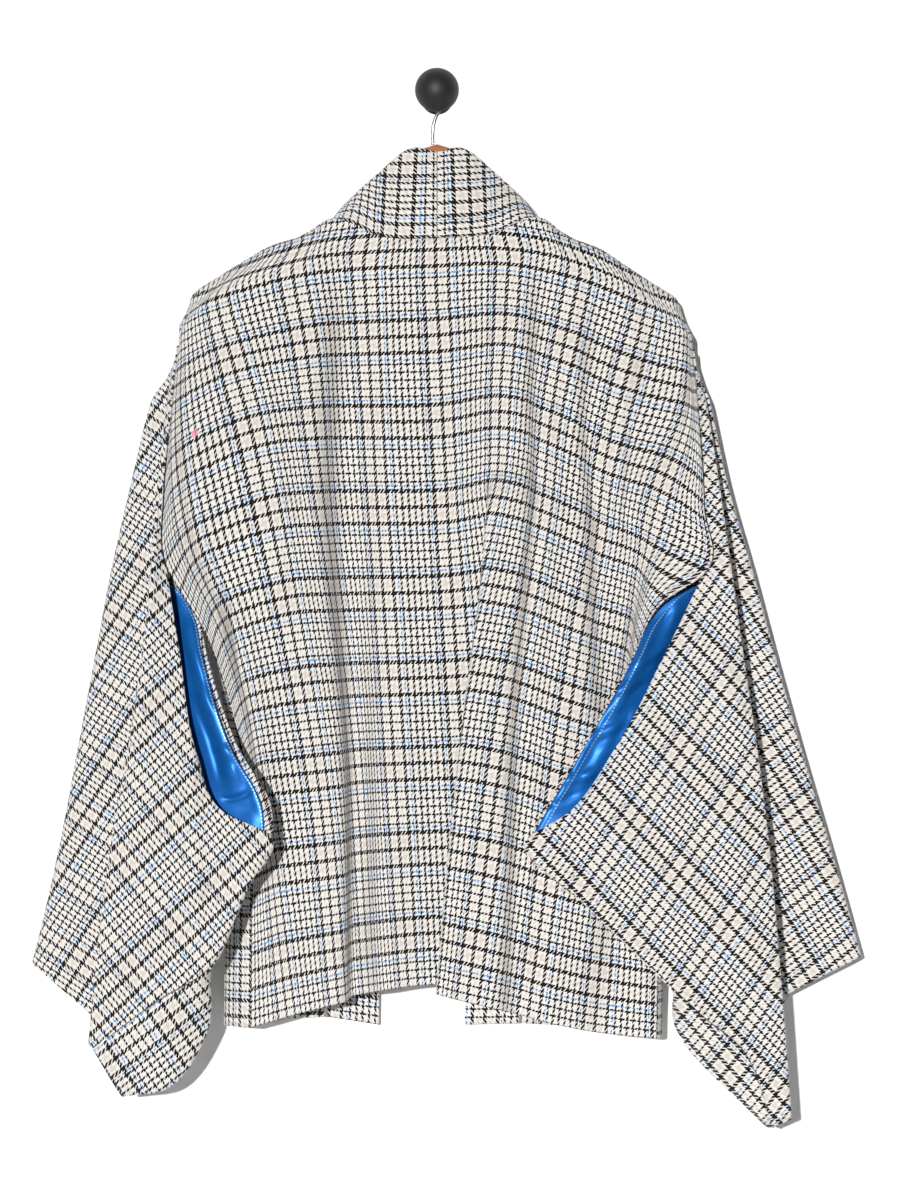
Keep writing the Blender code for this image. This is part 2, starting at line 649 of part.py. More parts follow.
def hook_curve():
    """Wire hook: a round bevel along a smooth route through its points."""
    curve = bpy.data.curves.new("hanger_hook", "CURVE")
    curve.dimensions = "3D"
    curve.bevel_depth = WIRE / 2 * MM
    curve.bevel_resolution = 2
    curve.use_fill_caps = True
    route = [(k, x, z) for k, (x, z) in enumerate(HOOK_ROUTE)]
    stations = np.linspace(0, len(route) - 1, HOOK_POINTS)
    spline = curve.splines.new("POLY")
    spline.points.add(len(stations) - 1)
    for point, x, z in zip(spline.points, track(route, stations, 1), track(route, stations, 2)):
        point.co = (x * MM, -HOOK_DEPTH * MM, z * MM, 1)
    return curve


def knob_profile():
    """Half outline of the knob, from the ball's front down to the wall: radius and depth."""
    neck = np.arcsin(STEM_RADIUS / BALL_RADIUS)
    arc = np.linspace(0, pi - neck, BALL_POINTS)
    outline = [(BALL_RADIUS * sin(t), BALL_DEPTH + BALL_RADIUS * cos(t)) for t in arc]
    outline += [(STEM_RADIUS, BASE_THICK), (BASE_RADIUS, BASE_THICK), (BASE_RADIUS, 0), (0, 0)]
    return outline


def add_knob(finish):
    """Turned wall knob: its profile spun about its stem, which stands out from the wall."""
    outline = knob_profile()
    mesh = bpy.data.meshes.new("wall_knob")
    edges = [(k, k + 1) for k in range(len(outline) - 1)]
    mesh.from_pydata([(r * MM, 0, h * MM) for r, h in outline], edges, [])
    piece = add_object("wall_knob", mesh, finish)
    piece.rotation_euler = (pi / 2, 0, 0)
    screw = piece.modifiers.new("turned", "SCREW")
    screw.steps = KNOB_SIDES
    screw.render_steps = KNOB_SIDES
    screw.use_merge_vertices = True
    screw.merge_threshold = 0.00005
    return piece


for old in list(bpy.data.objects):
    bpy.data.objects.remove(old)
parts = bpy.data.collections.new(OBJECT_NAME)
bpy.context.scene.collection.children.link(parts)

wool = material("checked_wool", (0.62, 0.58, 0.55), 0.9)
satin = material("blue_satin", (0.02, 0.16, 0.62), 0.35)
wood = material("varnished_wood", (0.42, 0.18, 0.08), 0.4)
chrome = material("chrome_wire", (0.7, 0.7, 0.7), 0.2, 1.0)
black = material("black_lacquer", (0.012, 0.012, 0.012), 0.5)

cloth_piece("back", sum(BACK_COLUMNS), BODY_ROWS, lambda a, b: back_panel(a, body_rows(b)), WOOL, wool)
for hand in ("left", "right"):
    surfaces = dict(
        front=lambda a, b: front_panel(hand, a, body_rows(b)),
        collar=lambda a, b: collar(hand, a, band_rows(b)),
        sleeve=lambda a, b: sleeve(hand, a, b),
        lining=lambda a, b: lining(hand, a, b),
    )
    cloth_piece("front_" + hand, FRONT_COLUMNS, BODY_ROWS, surfaces["front"], WOOL, wool)
    cloth_piece("collar_" + hand, BAND_COLUMNS, BAND_ROWS, surfaces["collar"], WOOL, wool)
    cloth_piece("sleeve_" + hand, SLEEVE_COLUMNS, SLEEVE_ROWS, surfaces["sleeve"], WOOL, wool)
    cloth_piece("lining_" + hand, LINING_COLUMNS, LINING_ROWS, surfaces["lining"], SATIN, satin)
add_object("hanger", hanger_mesh(), wood)
add_object("hanger_hook", hook_curve(), chrome)
add_knob(black)
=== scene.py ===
# %% [markdown]
# # A kimono jacket in checked wool, hung on a wall knob
# We see the back of a wide-sleeved jacket. It hangs by a wooden hanger whose wire hook goes over
# the stem of a round black knob. The solid model already has every piece at its real place, so
# this lesson adds what the eye enjoys: fine folds, the woven check, satin, wood, chrome and light.
# Sizes are in millimetres, and a point is (x, depth, z): x to the right, depth out from the wall
# and z up. Only the last step turns them into Blender's metres, with y as minus depth.

from math import pi

import bpy
import numpy as np
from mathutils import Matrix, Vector


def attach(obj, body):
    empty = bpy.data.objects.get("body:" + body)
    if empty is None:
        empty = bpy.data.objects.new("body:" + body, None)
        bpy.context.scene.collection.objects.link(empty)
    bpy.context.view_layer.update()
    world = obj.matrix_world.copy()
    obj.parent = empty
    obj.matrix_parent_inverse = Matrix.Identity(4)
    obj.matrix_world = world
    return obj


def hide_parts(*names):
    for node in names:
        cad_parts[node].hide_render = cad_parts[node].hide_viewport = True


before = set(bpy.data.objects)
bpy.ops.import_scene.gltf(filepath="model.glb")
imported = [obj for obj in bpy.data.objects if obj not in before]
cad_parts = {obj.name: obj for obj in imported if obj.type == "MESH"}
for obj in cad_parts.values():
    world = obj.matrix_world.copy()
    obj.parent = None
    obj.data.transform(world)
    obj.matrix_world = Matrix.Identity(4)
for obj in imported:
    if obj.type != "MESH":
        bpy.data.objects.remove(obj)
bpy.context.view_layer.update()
MM = 0.001
print("solid model:", sorted(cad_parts))

# %% [markdown]
# ## Smooth lines through a few measured rows
# A tailor gives a shape by a few measures and lets the cloth run smoothly between them. A table
# here does the same: its first column is a place along the cloth, and a cubic curve with the
# slopes of its neighbours runs through each of the other columns.

# %% Curves through tables


def cubic(low, high, slope_low, slope_high, width, f):
    """Hermite piece between two values: they and their slopes are weighed by cubics of the share f."""
    start = low * (1 + 2 * f) * (1 - f) ** 2 + slope_low * width * f * (1 - f) ** 2
    end = high * f * f * (3 - 2 * f) + slope_high * width * f * f * (f - 1)
    return start + end


def track(rows, at, column):
    """Cubic curve through one column of a table by its first, with the slopes of the neighbours."""
    table = np.array([[row[0], row[column]] for row in rows], float)
    places, values = table[:, 0], table[:, 1]
    slopes = np.gradient(values, places)
    at = np.clip(at, places[0], places[-1])
    i = np.clip(np.searchsorted(places, at, side="right") - 1, 0, len(places) - 2)
    width = places[i + 1] - places[i]
    return cubic(values[i], values[i + 1], slopes[i], slopes[i + 1], width, (at - places[i]) / width)


def track_point(rows, at):
    """Point (x, depth, z) on a track of (station, x, z, depth) rows."""
    return np.stack([track(rows, at, 1), track(rows, at, 3), track(rows, at, 2)], -1)


def smooth(f):
    """Step from 0 to 1 with level ends: f * f * (3 - 2 f)."""
    f = np.clip(f, 0, 1)
    return f * f * (3 - 2 * f)


def hump(f):
    """Soft hump, 1 at 0 and 0 beyond -1 and 1: half of one plus a cosine."""
    return 0.5 + 0.5 * np.cos(pi * np.clip(f, -1, 1))


def across(warps, rows, weft, length, first=1):
    """Value at a weft place between columns set at warp lines, on the row at a length: a cubic each way."""
    columns = np.stack([track(rows, length, first + k) for k in range(len(warps))])
    warps = np.array(warps, float)
    slopes = np.gradient(columns, warps, axis=0)
    i = np.clip(np.searchsorted(warps, weft, side="right") - 1, 0, len(warps) - 2)
    width = warps[i + 1] - warps[i]
    f = np.clip((weft - warps[i]) / width, 0, 1)

    def pick(table, index):
        return np.take_along_axis(table, index[None], 0)[0]

    return cubic(pick(columns, i), pick(columns, i + 1), pick(slopes, i), pick(slopes, i + 1), width, f)


def section(controls, a):
    """Rounded line led by control points: parabolas between the middles of their spans."""
    controls = np.stack(controls)
    count = len(controls)
    u = np.clip(a, 0, 1) * (count - 2)
    i = np.minimum(u.astype(int), count - 3)
    f = (u - i)[..., None]

    def pick(index):
        return np.take_along_axis(controls, index[None, ..., None], 0)[0]

    start = np.where((i == 0)[..., None], pick(i), (pick(i) + pick(i + 1)) / 2)
    end = np.where((i == count - 3)[..., None], pick(i + 2), (pick(i + 1) + pick(i + 2)) / 2)
    return start * (1 - f) ** 2 + pick(i + 1) * 2 * f * (1 - f) + end * f * f


def walked(points):
    """Distance from the first point of each row to every point: the sum of the steps between neighbours."""
    steps = np.linalg.norm(np.diff(points, axis=-2), axis=-1)
    return np.insert(np.cumsum(steps, -1), 0, 0, axis=-1)


print("half way up a smooth step:", smooth(0.5), "and down a hump:", round(hump(0.5), 3))

# %% [markdown]
# ## Small creases
# Large folds come from how each piece hangs. On top of them lie small creases from wear and from
# storage: soft ridges and troughs, uneven in length and depth. Each is one row of a table, a line
# from one point to another with a sideways bow, and it lifts the cloth towards us by a hump across
# the line that fades at both ends.

# %% Creases as humps along bowed lines
CREASE_FADE = 0.3


def creased(points, creases):
    """Moves points in depth by height * hump(distance / width) * fade(along) for each crease row."""
    x, z = points[..., 0], points[..., 2]
    lift = np.zeros_like(x)
    for x0, z0, x1, z1, bow, width, height in creases:
        long = np.hypot(x1 - x0, z1 - z0)
        ex, ez = (x1 - x0) / long, (z1 - z0) / long
        along = ((x - x0) * ex + (z - z0) * ez) / long
        off = -(x - x0) * ez + (z - z0) * ex - bow * 4 * along * (1 - along)
        fade = smooth(along / CREASE_FADE) * smooth((1 - along) / CREASE_FADE)
        lift += height * hump(off / width) * fade
    moved = points.copy()
    moved[..., 1] += lift
    return moved


lifted = creased(np.zeros((1, 3)), [(0, -50, 0, 50, 0, 10, 2.0)])
print("a crease 2 mm high lifts the point on its middle by", lifted[0, 1], "mm")

# %% [markdown]
# ## From an array of points to a piece of cloth
# A sheet is a grid of points with the cloth's own measures at each: the distance along the weft and
# along the warp. Those two become the UV map, so the check follows the threads round every fold.
# Solidify then gives the sheet the thickness of the cloth, half to each side. Each piece takes the place of
# one solid.

# %% Mesh makers
WOOL = 1.6
SATIN = 1.0
SEAM_GAP = 0.4
SEAM_STEP = WOOL / 2 + SEAM_GAP
RIDGE_STEP = 2.5
BAND_STEP = 1.9
BAND_LAP = 1.2


def grid(columns, rows):
    """Two arrays, a across and b down, from 0 to 1 on a grid of columns by rows."""
    return np.meshgrid(np.linspace(0, 1, columns + 1), np.linspace(0, 1, rows + 1))


def add_mesh(name, points, faces, finish, uv=None):
    """Mesh from points (x, depth, z) and faces of point numbers, with its UV map in metres of cloth."""
    places = np.stack([points[:, 0], -points[:, 1], points[:, 2]], -1) * MM
    mesh = bpy.data.meshes.new(name)
    mesh.from_pydata(places, [], faces.tolist())
    if uv is not None:
        layer = mesh.uv_layers.new(name="cloth")
        layer.data.foreach_set("uv", (uv[faces.ravel()] * MM).astype(np.float32).ravel())
    mesh.materials.append(finish)
    mesh.shade_smooth()
    piece = bpy.data.objects.new(name, mesh)
    bpy.context.scene.collection.objects.link(piece)
    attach(piece, "root")
    return piece


def grid_faces(rows, columns, around=False):
    """Four point numbers for each cell of a grid of points, joined round its columns if asked."""
    numbers = np.arange(rows * columns).reshape(rows, columns)
    if around:
        numbers = np.concatenate([numbers, numbers[:, :1]], 1)
    corners = [numbers[:-1, :-1], numbers[1:, :-1], numbers[1:, 1:], numbers[:-1, 1:]]
    return np.stack(corners, -1).reshape(-1, 4)


def cloth_piece(name, points, cloth, finish, thick=WOOL, flip=False):
    """A sheet of cloth with its thickness."""
    rows, columns = points.shape[:2]
    faces = grid_faces(rows, columns)
    if flip:
        faces = faces[:, ::-1]
    piece = add_mesh(name, points.reshape(-1, 3), faces, finish, cloth.reshape(-1, 2))
    body = piece.modifiers.new("thickness", "SOLIDIFY")
    body.thickness = thick * MM
    body.offset = 0
    return piece


print("wool", WOOL, "mm thick, satin", SATIN, "mm, with a step of", SEAM_STEP, "mm at a seam")

# %% [markdown]
# ## Finishes: colour and node helpers
# Colours are written as the sRGB hex values that a colour picker shows, and one function turns them
# into the linear values that light works with. One more function adds a shader node with its
# settings and links, and one feeds a node's inputs, so that each finish below reads as a short list.

# %% Colour and node helpers


def hex_colour(code):
    """Linear RGBA from an sRGB hex code: ((c + 0.055) / 1.055) ** 2.4 above the dark toe."""
    srgb = np.array([int(code[k:k + 2], 16) for k in (1, 3, 5)]) / 255
    linear = np.where(srgb > 0.04045, ((srgb + 0.055) / 1.055) ** 2.4, srgb / 12.92)
    return (*linear.tolist(), 1.0)


def feed(tree, made, inputs):
    """Sets or links the inputs of a node, by number or name."""
    for key, value in inputs.items():
        if isinstance(value, bpy.types.NodeSocket):
            tree.links.new(value, made.inputs[key])
        else:
            made.inputs[key].default_value = value


def node(tree, kind, inputs=None, **settings):
    """Adds a node, sets its properties and feeds its inputs."""
    made = tree.nodes.new("ShaderNode" + kind)
    for key, value in settings.items():
        setattr(made, key, value)
    feed(tree, made, inputs or {})
    return made


def finish_tree(name):
    """New material: its node tree and its Principled shader."""
    finish = bpy.data.materials.new(name)
    finish.use_nodes = True
    return finish, finish.node_tree, finish.node_tree.nodes["Principled BSDF"]


print("mid grey #808080 in linear light:", round(hex_colour("#808080")[0], 3))

# %% [markdown]
# ## Wool woven in a glen check
# The cloth is a two-by-two twill. Its warp threads, the ends, and its weft threads, the picks, are
# off-white with groups of dark threads: three broad stripes, then fine ones, with a pale blue thread
# on each side. Where a dark end lies over a dark pick the colours meet in small steps, and that makes
# the check. So the finish counts ends and picks from the cloth's own measures, looks up the colour
# of each, and shows the one that the twill brings to the face. The twill's slant is drawn over five
# threads instead of four, so that it still shows from a few metres away. The dark yarn is fuller than
# the pale one, so its floats spread a little over their neighbours.

# %% The weave's chart
# millimetres from thread to thread, then threads in a repeat, colours, and stripes in threads
END = 0.745
PICK = 0.936
WARP_REPEAT = 92
WEFT_REPEAT = 84
OFF_WHITE = "#f6f3ee"
OATMEAL = "#e2d8cd"
BROWN = "#2c1b18"
BLACK = "#0f0d0e"
SKY = "#6aa5dc"
WARP_WIDTHS = (5, 3)
WEFT_WIDTHS = (4, 2)
MIDDLE = 5
SKY_WIDE = 2
BROAD_PLACES = (0, 16, 32)
MIDDLE_PLACES = (8, 24)
WARP_FINE = (43, 51, 59, 67, 75, 83)
WARP_SKY = (39, 87)
WEFT_FINE = (43, 51, 59, 67, 75)
WEFT_SKY = (39, 79)


def stripes(dark, widths, fine, sky):
    """Stripes of one thread system: (middle thread, threads wide, colour) in order."""
    rows = [(place, widths[0], dark) for place in BROAD_PLACES]
    rows += [(place, MIDDLE, OATMEAL) for place in MIDDLE_PLACES]
    rows += [(place, widths[1], dark) for place in fine]
    rows += [(place, SKY_WIDE, SKY) for place in sky]
    return sorted(rows)


def stripe_ramp(tree, count, repeat, rows):
    """Colour of a thread by its count from the middle broad stripe: a stepped ramp over one repeat."""
    half = rows[0][1] / 2
    shifted = node(tree, "Math", {0: count, 1: BROAD_PLACES[1] + half}, operation="ADD")
    share = node(tree, "Math", {0: shifted.outputs[0], 1: repeat}, operation="DIVIDE")
    place = node(tree, "Math", {0: share.outputs[0]}, operation="FRACT")
    ramp = node(tree, "ValToRGB", {0: place.outputs[0]})
    ramp.color_ramp.interpolation = "CONSTANT"
    ramp.color_ramp.elements.remove(ramp.color_ramp.elements[1])
    for middle, wide, colour in rows:
        start = (middle + half - wide / 2) / repeat
        stop = start + wide / repeat
        first = ramp.color_ramp.elements[0] if start == 0 else ramp.color_ramp.elements.new(start)
        first.color = hex_colour(colour)
        ramp.color_ramp.elements.new(stop).color = hex_colour(OFF_WHITE)
    return ramp.outputs[0]


print("wool repeat:", round(END * WARP_REPEAT, 1), "x", round(PICK * WEFT_REPEAT, 1), "mm")

# %% The wool's finish
PINK_SPOT = (-249.0, 136.0)
PINK_SIZE = 2.6
PINK = "#f08fa4"
FIBRES_PER_METRE = 900.0  # loose fibres clump about every millimetre
THREAD_RELIEF = 0.0004
# share of a thread's colour left at its edge: painted shade in the gaps between threads
GAP_SHADE = 0.76
TWILL = 5.0
DARK_BELOW = 0.1
DARK_SPREAD = 0.9


def checked_wool(name, spot=False):
    """Woven wool: matt, a little sheen from loose fibres, rounded threads, and painted shade darkening the
    gaps between them.
    """
    finish, tree, shader = finish_tree(name)
    uv = node(tree, "UVMap", uv_map="cloth")
    place = node(tree, "SeparateXYZ", {0: uv.outputs[0]})
    ends = node(tree, "Math", {0: place.outputs[0], 1: 1 / (END * MM)}, operation="MULTIPLY").outputs[0]
    picks = node(tree, "Math", {0: place.outputs[1], 1: 1 / (PICK * MM)}, operation="MULTIPLY").outputs[0]
    warp = stripe_ramp(tree, ends, WARP_REPEAT, stripes(BROWN, WARP_WIDTHS, WARP_FINE, WARP_SKY))
    weft = stripe_ramp(tree, picks, WEFT_REPEAT, stripes(BLACK, WEFT_WIDTHS, WEFT_FINE, WEFT_SKY))
    dark = []
    for colour in (warp, weft):
        grey = node(tree, "RGBToBW", {0: colour})
        dark.append(node(tree, "Math", {0: grey.outputs[0], 1: DARK_BELOW}, operation="LESS_THAN").outputs[0])
    lean = node(tree, "Math", {0: dark[0], 1: dark[1]}, operation="SUBTRACT")
    float_end = node(tree, "Math", {0: lean.outputs[0], 1: DARK_SPREAD, 2: TWILL / 2},
                     operation="MULTIPLY_ADD")
    diagonal = node(tree, "Math", {0: ends, 1: picks}, operation="ADD")
    step = node(tree, "Math", {0: diagonal.outputs[0], 1: TWILL}, operation="FLOORED_MODULO")
    over = node(tree, "Math", {0: step.outputs[0], 1: float_end.outputs[0]}, operation="LESS_THAN").outputs[0]
    thread = node(tree, "Mix", {"Factor": over, 6: weft, 7: warp}, data_type="RGBA")
    fibre = node(tree, "TexNoise", {"Vector": uv.outputs[0], "Scale": FIBRES_PER_METRE, "Detail": 2.0})
    uneven = node(tree, "MapRange", {0: fibre.outputs[0], 1: 0.3, 2: 0.7, 3: 0.9, 4: 1.06})
    round_end = node(tree, "Math", {0: ends, 1: 0.5}, operation="PINGPONG")
    round_pick = node(tree, "Math", {0: picks, 1: 0.5}, operation="PINGPONG")
    height = node(tree, "Mix", {"Factor": over, 2: round_pick.outputs[0], 3: round_end.outputs[0]})
    # painted shade: each thread darkens towards its edges, as shade falls in the gaps between threads
    painted_gap_shade = node(tree, "MapRange", {0: height.outputs[0], 1: 0.0, 2: 0.5, 3: GAP_SHADE, 4: 1.0})
    # random fibre tone times the painted shade of the gaps
    fibre_tone_and_gap_shade = node(tree, "Math", {0: uneven.outputs[0], 1: painted_gap_shade.outputs[0]}, operation="MULTIPLY")
    colour = node(tree, "Mix", {"Factor": 1.0, 6: thread.outputs[2], 7: fibre_tone_and_gap_shade.outputs[0]},
                  data_type="RGBA", blend_type="MULTIPLY").outputs[2]
    if spot:
        centre = (PINK_SPOT[0] * MM, PINK_SPOT[1] * MM, 0)
        away = node(tree, "VectorMath", {0: uv.outputs[0], 1: centre}, operation="DISTANCE")
        inside = node(tree, "MapRange", {0: away.outputs["Value"], 1: PINK_SIZE * MM, 2: 1.6 * PINK_SIZE * MM,
                                         3: 0.8, 4: 0.0})
        colour = node(tree, "Mix", {"Factor": inside.outputs[0], 6: colour, 7: hex_colour(PINK)},
                      data_type="RGBA").outputs[2]
    bump = node(tree, "Bump", {"Strength": 0.25, "Distance": THREAD_RELIEF, "Height": height.outputs[0]})
    feed(tree, shader, {"Base Color": colour, "Normal": bump.outputs[0], "Roughness": 0.9,
                        "Specular IOR Level": 0.2, "Sheen Weight": 0.15, "Sheen Roughness": 0.5})
    return finish


wool = checked_wool("checked_wool")
back_wool = checked_wool("checked_wool_back", spot=True)
print("wool finishes:", wool.name, back_wool.name)

# %% [markdown]
# ## Blue satin
# The sleeves are lined in royal blue satin, a smooth weave of long floats. Its soft highlights keep
# the blue of the cloth, as a metal's keep its colour, so a share of metal in the shader gives the eye
# that glow along each wrinkle. Fine lines along the threads, drawn a little coarse so that they show,
# break the gloss up. A row of pale stitches follows the edge, each about two millimetres long.

# %% The satin's finish
STITCH_PITCH = 3.4
STITCH_SHARE = 0.62
STITCH_WIDE = 0.55
STITCH_IN = {"left": 1.8, "right": 6.6}
SATIN_LINES = 300.0  # wave scale that sets the thread lines about a millimetre apart
SATIN_CLOUDS = 40.0  # clouds 25 mm wide, as cloth lies unevenly


def blue_satin(side):
    """Satin: deep blue with a blue gloss, faint thread lines, and a dotted line of stitches by its edge."""
    finish, tree, shader = finish_tree("royal_blue_satin_" + side)
    uv = node(tree, "UVMap", uv_map="cloth")
    lines = node(tree, "TexWave", {"Vector": uv.outputs[0], "Scale": SATIN_LINES, "Distortion": 1.5,
                                   "Detail": 2.0})
    cloud = node(tree, "TexNoise", {"Vector": uv.outputs[0], "Scale": SATIN_CLOUDS, "Detail": 3.0})
    both = node(tree, "Math", {0: lines.outputs["Fac"], 1: cloud.outputs[0]}, operation="MULTIPLY")
    ramp = node(tree, "ValToRGB", {0: both.outputs[0]})
    ramp.color_ramp.elements[0].color = hex_colour("#0c62bc")
    ramp.color_ramp.elements[1].color = hex_colour("#2f9af0")
    place = node(tree, "SeparateXYZ", {0: uv.outputs[0]})
    line = node(tree, "Math", {0: place.outputs[0], 1: STITCH_IN[side] * MM, 2: STITCH_WIDE * MM},
                operation="COMPARE")
    pitch = node(tree, "Math", {0: place.outputs[1], 1: STITCH_PITCH * MM}, operation="FLOORED_MODULO")
    dash = node(tree, "Math", {0: pitch.outputs[0], 1: STITCH_PITCH * STITCH_SHARE * MM},
                operation="LESS_THAN")
    stitch = node(tree, "Math", {0: line.outputs[0], 1: dash.outputs[0]}, operation="MULTIPLY").outputs[0]
    colour = node(tree, "Mix", {"Factor": stitch, 6: ramp.outputs[0], 7: hex_colour("#a9cdf3")},
                  data_type="RGBA")
    relief = node(tree, "Math", {0: stitch, 1: cloud.outputs[0]}, operation="ADD")
    bump = node(tree, "Bump", {"Strength": 0.25, "Distance": THREAD_RELIEF, "Height": relief.outputs[0]})
    feed(tree, shader, {"Base Color": colour.outputs[2], "Normal": bump.outputs[0], "Metallic": 0.45,
                        "Roughness": 0.42, "Specular IOR Level": 0.5})
    return finish


SIDES = ("left", "right")
satin = {side: blue_satin(side) for side in SIDES}
print("satin finishes:", [finish.name for finish in satin.values()])

# %% [markdown]
# ## The back
# The back is one wide panel, cut square and sewn to the fronts over the shoulders. Its weft lines
# droop to the sides, its sides turn away from us, and folds fall from the shoulder blades. Each row
# is walked along the weft: at every small step the cloth turns by the folds' angle there, and the
# row is then fitted to the measured outline and warp lines. So the check narrows inside a fold, as it
# does on real cloth and as a plain projection could not show.

# %% The back's measures
BACK_LEFT = -323.0
BACK_RIGHT = 335.0
BACK_LENGTH = 688.0
NECK_Z = -134.0
ROLL_LENGTH = 55.0
FOLDS_LENGTH = 90.0
TOP_EDGE = (
    # weft, drop, depth, roll
    (0, 0, 62, 0),
    (60, -5, 61, 0),
    (95, -22, 55, 2),
    (108, -23, 49, 8),
    (122, -17, 47, 10),
    (137, -13, 46, 11),
    (170, -13, 42, 12),
    (245, 4, 32, 12),
    (335, 37, 34, 8),
)
DROOP_WARPS = (-323, -275, -206, -137, 0, 69, 137, 206, 275, 335)
DROOP = (
    # length, then the drop at each warp line
    (0, 44, 42, 30, 11, 0, 0, 12, 35, 48, 50),
    (50, 48, 47, 28, 9, 0, -3, 11, 35, 50, 51),
    (100, 50, 47, 20, 6, 0, -6, 9, 34, 50, 54),
    (170, 66, 45, 11, 2, 0, -8, 6, 33, 51, 77),
    (240, 66, 39, 8, 2, 0, -8, 5, 29, 48, 74),
    (330, 50, 28, 6, 3, 0, -7, 3, 24, 42, 60),
    (500, 28, 18, 10, 5, 0, -2, 6, 25, 42, 55),
    (688, 41, 31, 18, 9, 0, 4, 15, 30, 44, 51),
)
BACK_ROWS = (
    # length, left x, middle x, right x, depths: left, half left, middle, half right, right
    (0, -236, -2, 234, 34, 56, 62, 56, 34),
    (47, -239, -1, 236, 42, 61, 63, 61, 42),
    (100, -243, 2, 240, 66, 65, 62, 66, 64),
    (170, -250, 5, 245, 82, 69, 61, 70, 82),
    (240, -247, 9, 241, 86, 71, 61, 73, 87),
    (262, -236, 10, 211, 86, 71, 61, 74, 86),
    (300, -217, 12, 189, 82, 72, 61, 75, 82),
    (400, -188, 18, 188, 70, 73, 61, 76, 68),
    (500, -170, 24, 195, 62, 73, 61, 76, 61),
    (600, -171, 28, 203, 58, 74, 61, 77, 59),
    (688, -172, 30, 202, 56, 75, 61, 78, 58),
)
DEPTH_WARPS = (-323, -160, 0, 160, 335)
SET_WARPS = (-323, -274, -206, -137, -69, 0, 137, 206, 274, 335)
WARP_ROWS = (
    # length, then x of the warp lines between the left edge, the middle and the right edge
    (0, -234, -210, -139, -71, 138, 200, 230),
    (50, -238, -201, -131, -67, 128, 189, 233),
    (100, -241, -189, -122, -64, 117, 175, 231),
    (170, -238, -172, -114, -60, 105, 157, 206),
    (240, -226, -157, -106, -56, 98, 148, 190),
    (330, -194, -139, -95, -50, 83, 135, 177),
    (500, -161, -109, -75, -39, 55, 110, 161),
    (688, -138, -91, -62, -27, 27, 84, 144),
)
FOLD_LENGTHS = (0, 100, 300, 500, 688)
FOLDS = (
    # first warp, its shift to the hem, second warp, its shift, widths of both, steepest turn at each length
    (-258, -30, -226, -30, 18, 24, (0, 24, 44, 24, 6)),
    (-96, -87, -44, -85, 30, 44, (12, 46, 60, 66, 72)),
    (88, 92, 124, 86, 20, 30, (12, 44, 58, 58, 54)),
    (136, 170, 170, 165, 22, 28, (12, 46, 50, 16, 0)),
    (200, 100, 234, 95, 20, 26, (8, 36, 42, 12, 0)),
    (264, 6, 292, 6, 20, 24, (4, 34, 46, 30, 14)),
)
PLEAT_ROWS = (
    # length, warp line of the inner edge, overlap
    (0, 60, 0),
    (225, 57, 0),
    (335, 52, 30),
    (450, 46, 47),
    (570, 40, 56),
    (688, 39, 57),
)
PLEAT_TURN = 8.0
PLEAT_MARGIN = 10.4
WALK_STEPS = 900
WARP_EASE = 0.05
SIDE_TURN_FROM = 240.0
SIDE_TURN_FULL = 272.0
SIDE_ROWS = (
    # length, left turn, right turn
    (0, 83, 84),
    (60, 66, 70),
    (170, 48, 50),
    (330, 52, 66),
    (500, 66, 40),
    (688, 40, 10),
)
LEAST_STRIDE = 0.2
print("the back is", BACK_RIGHT - BACK_LEFT, "mm wide and", BACK_LENGTH, "mm long, with", len(FOLDS), "folds")

# %% The back's surface


def back_drop(weft):
    """Length below the neck seam at which the back's top edge is cut."""
    return track(TOP_EDGE, np.abs(weft), 1)


def back_height(weft, length):
    """Height of the cloth: neck height - length - droop of the weft line."""
    return NECK_Z - length - across(DROOP_WARPS, DROOP, weft, length)


def back_depth(weft, length):
    """Depth without folds: a circle of the roll's radius over the hanger, eased into the table's rows."""
    below = length - back_drop(weft)
    roll = track(TOP_EDGE, np.abs(weft), 3)
    reach = np.clip(below, 0, roll)
    over = track(TOP_EDGE, np.abs(weft), 2) + np.sqrt(np.maximum(2 * roll * reach - reach ** 2, 0))
    return over + (across(DEPTH_WARPS, BACK_ROWS, weft, length, 4) - over) * smooth(below / ROLL_LENGTH)


def back_edge(side, length):
    """Point (x, depth, z) on a side edge of the back."""
    weft = np.full_like(length, BACK_LEFT if side == "left" else BACK_RIGHT)
    x = track(BACK_ROWS, length, 1 if side == "left" else 3)
    return np.stack([x, back_depth(weft, length), back_height(weft, length)], -1)


def pleat_overlap(length):
    """How far the knife fold laps over, none near the top."""
    return np.maximum(track(PLEAT_ROWS, length, 2), 0)


def back_turn(weft, length):
    """Angle of the cloth seen from above: a hump at each flank of a fold, half a turn in the knife fold."""
    turn = np.zeros_like(weft)
    low = length / BACK_LENGTH
    for first, first_shift, second, second_shift, away, back, turns in FOLDS:
        steep = np.radians(np.interp(length, FOLD_LENGTHS, turns))
        easier = np.arcsin(np.sin(steep) * away / back)
        turn -= steep * hump((weft - first - first_shift * low) / away)
        turn += easier * hump((weft - second - second_shift * low) / back)
    inner = track(PLEAT_ROWS, length, 1)
    outer = inner + pleat_overlap(length)
    turned = smooth((weft - inner) / PLEAT_TURN / 2 + 0.5) - smooth((weft - outer) / PLEAT_TURN / 2 + 0.5)
    return turn + pi * turned


BACK_COLUMNS = (80, 40, 90)
BACK_GRID_ROWS = 200


def back_weft(a, length):
    """Weft distance of a column, with columns crowded at the knife fold."""
    inner = track(PLEAT_ROWS, length, 1) - PLEAT_MARGIN
    outer = inner + pleat_overlap(length) + 2 * PLEAT_MARGIN
    left, fold, right = np.array(BACK_COLUMNS, float) / sum(BACK_COLUMNS)
    f = np.clip(a / left, 0, 1)
    g = np.clip((a - left) / fold, 0, 1)
    h = np.clip((a - left - fold) / right, 0, 1)
    return BACK_LEFT + (inner - BACK_LEFT) * f + (outer - inner) * g + (BACK_RIGHT - outer) * h


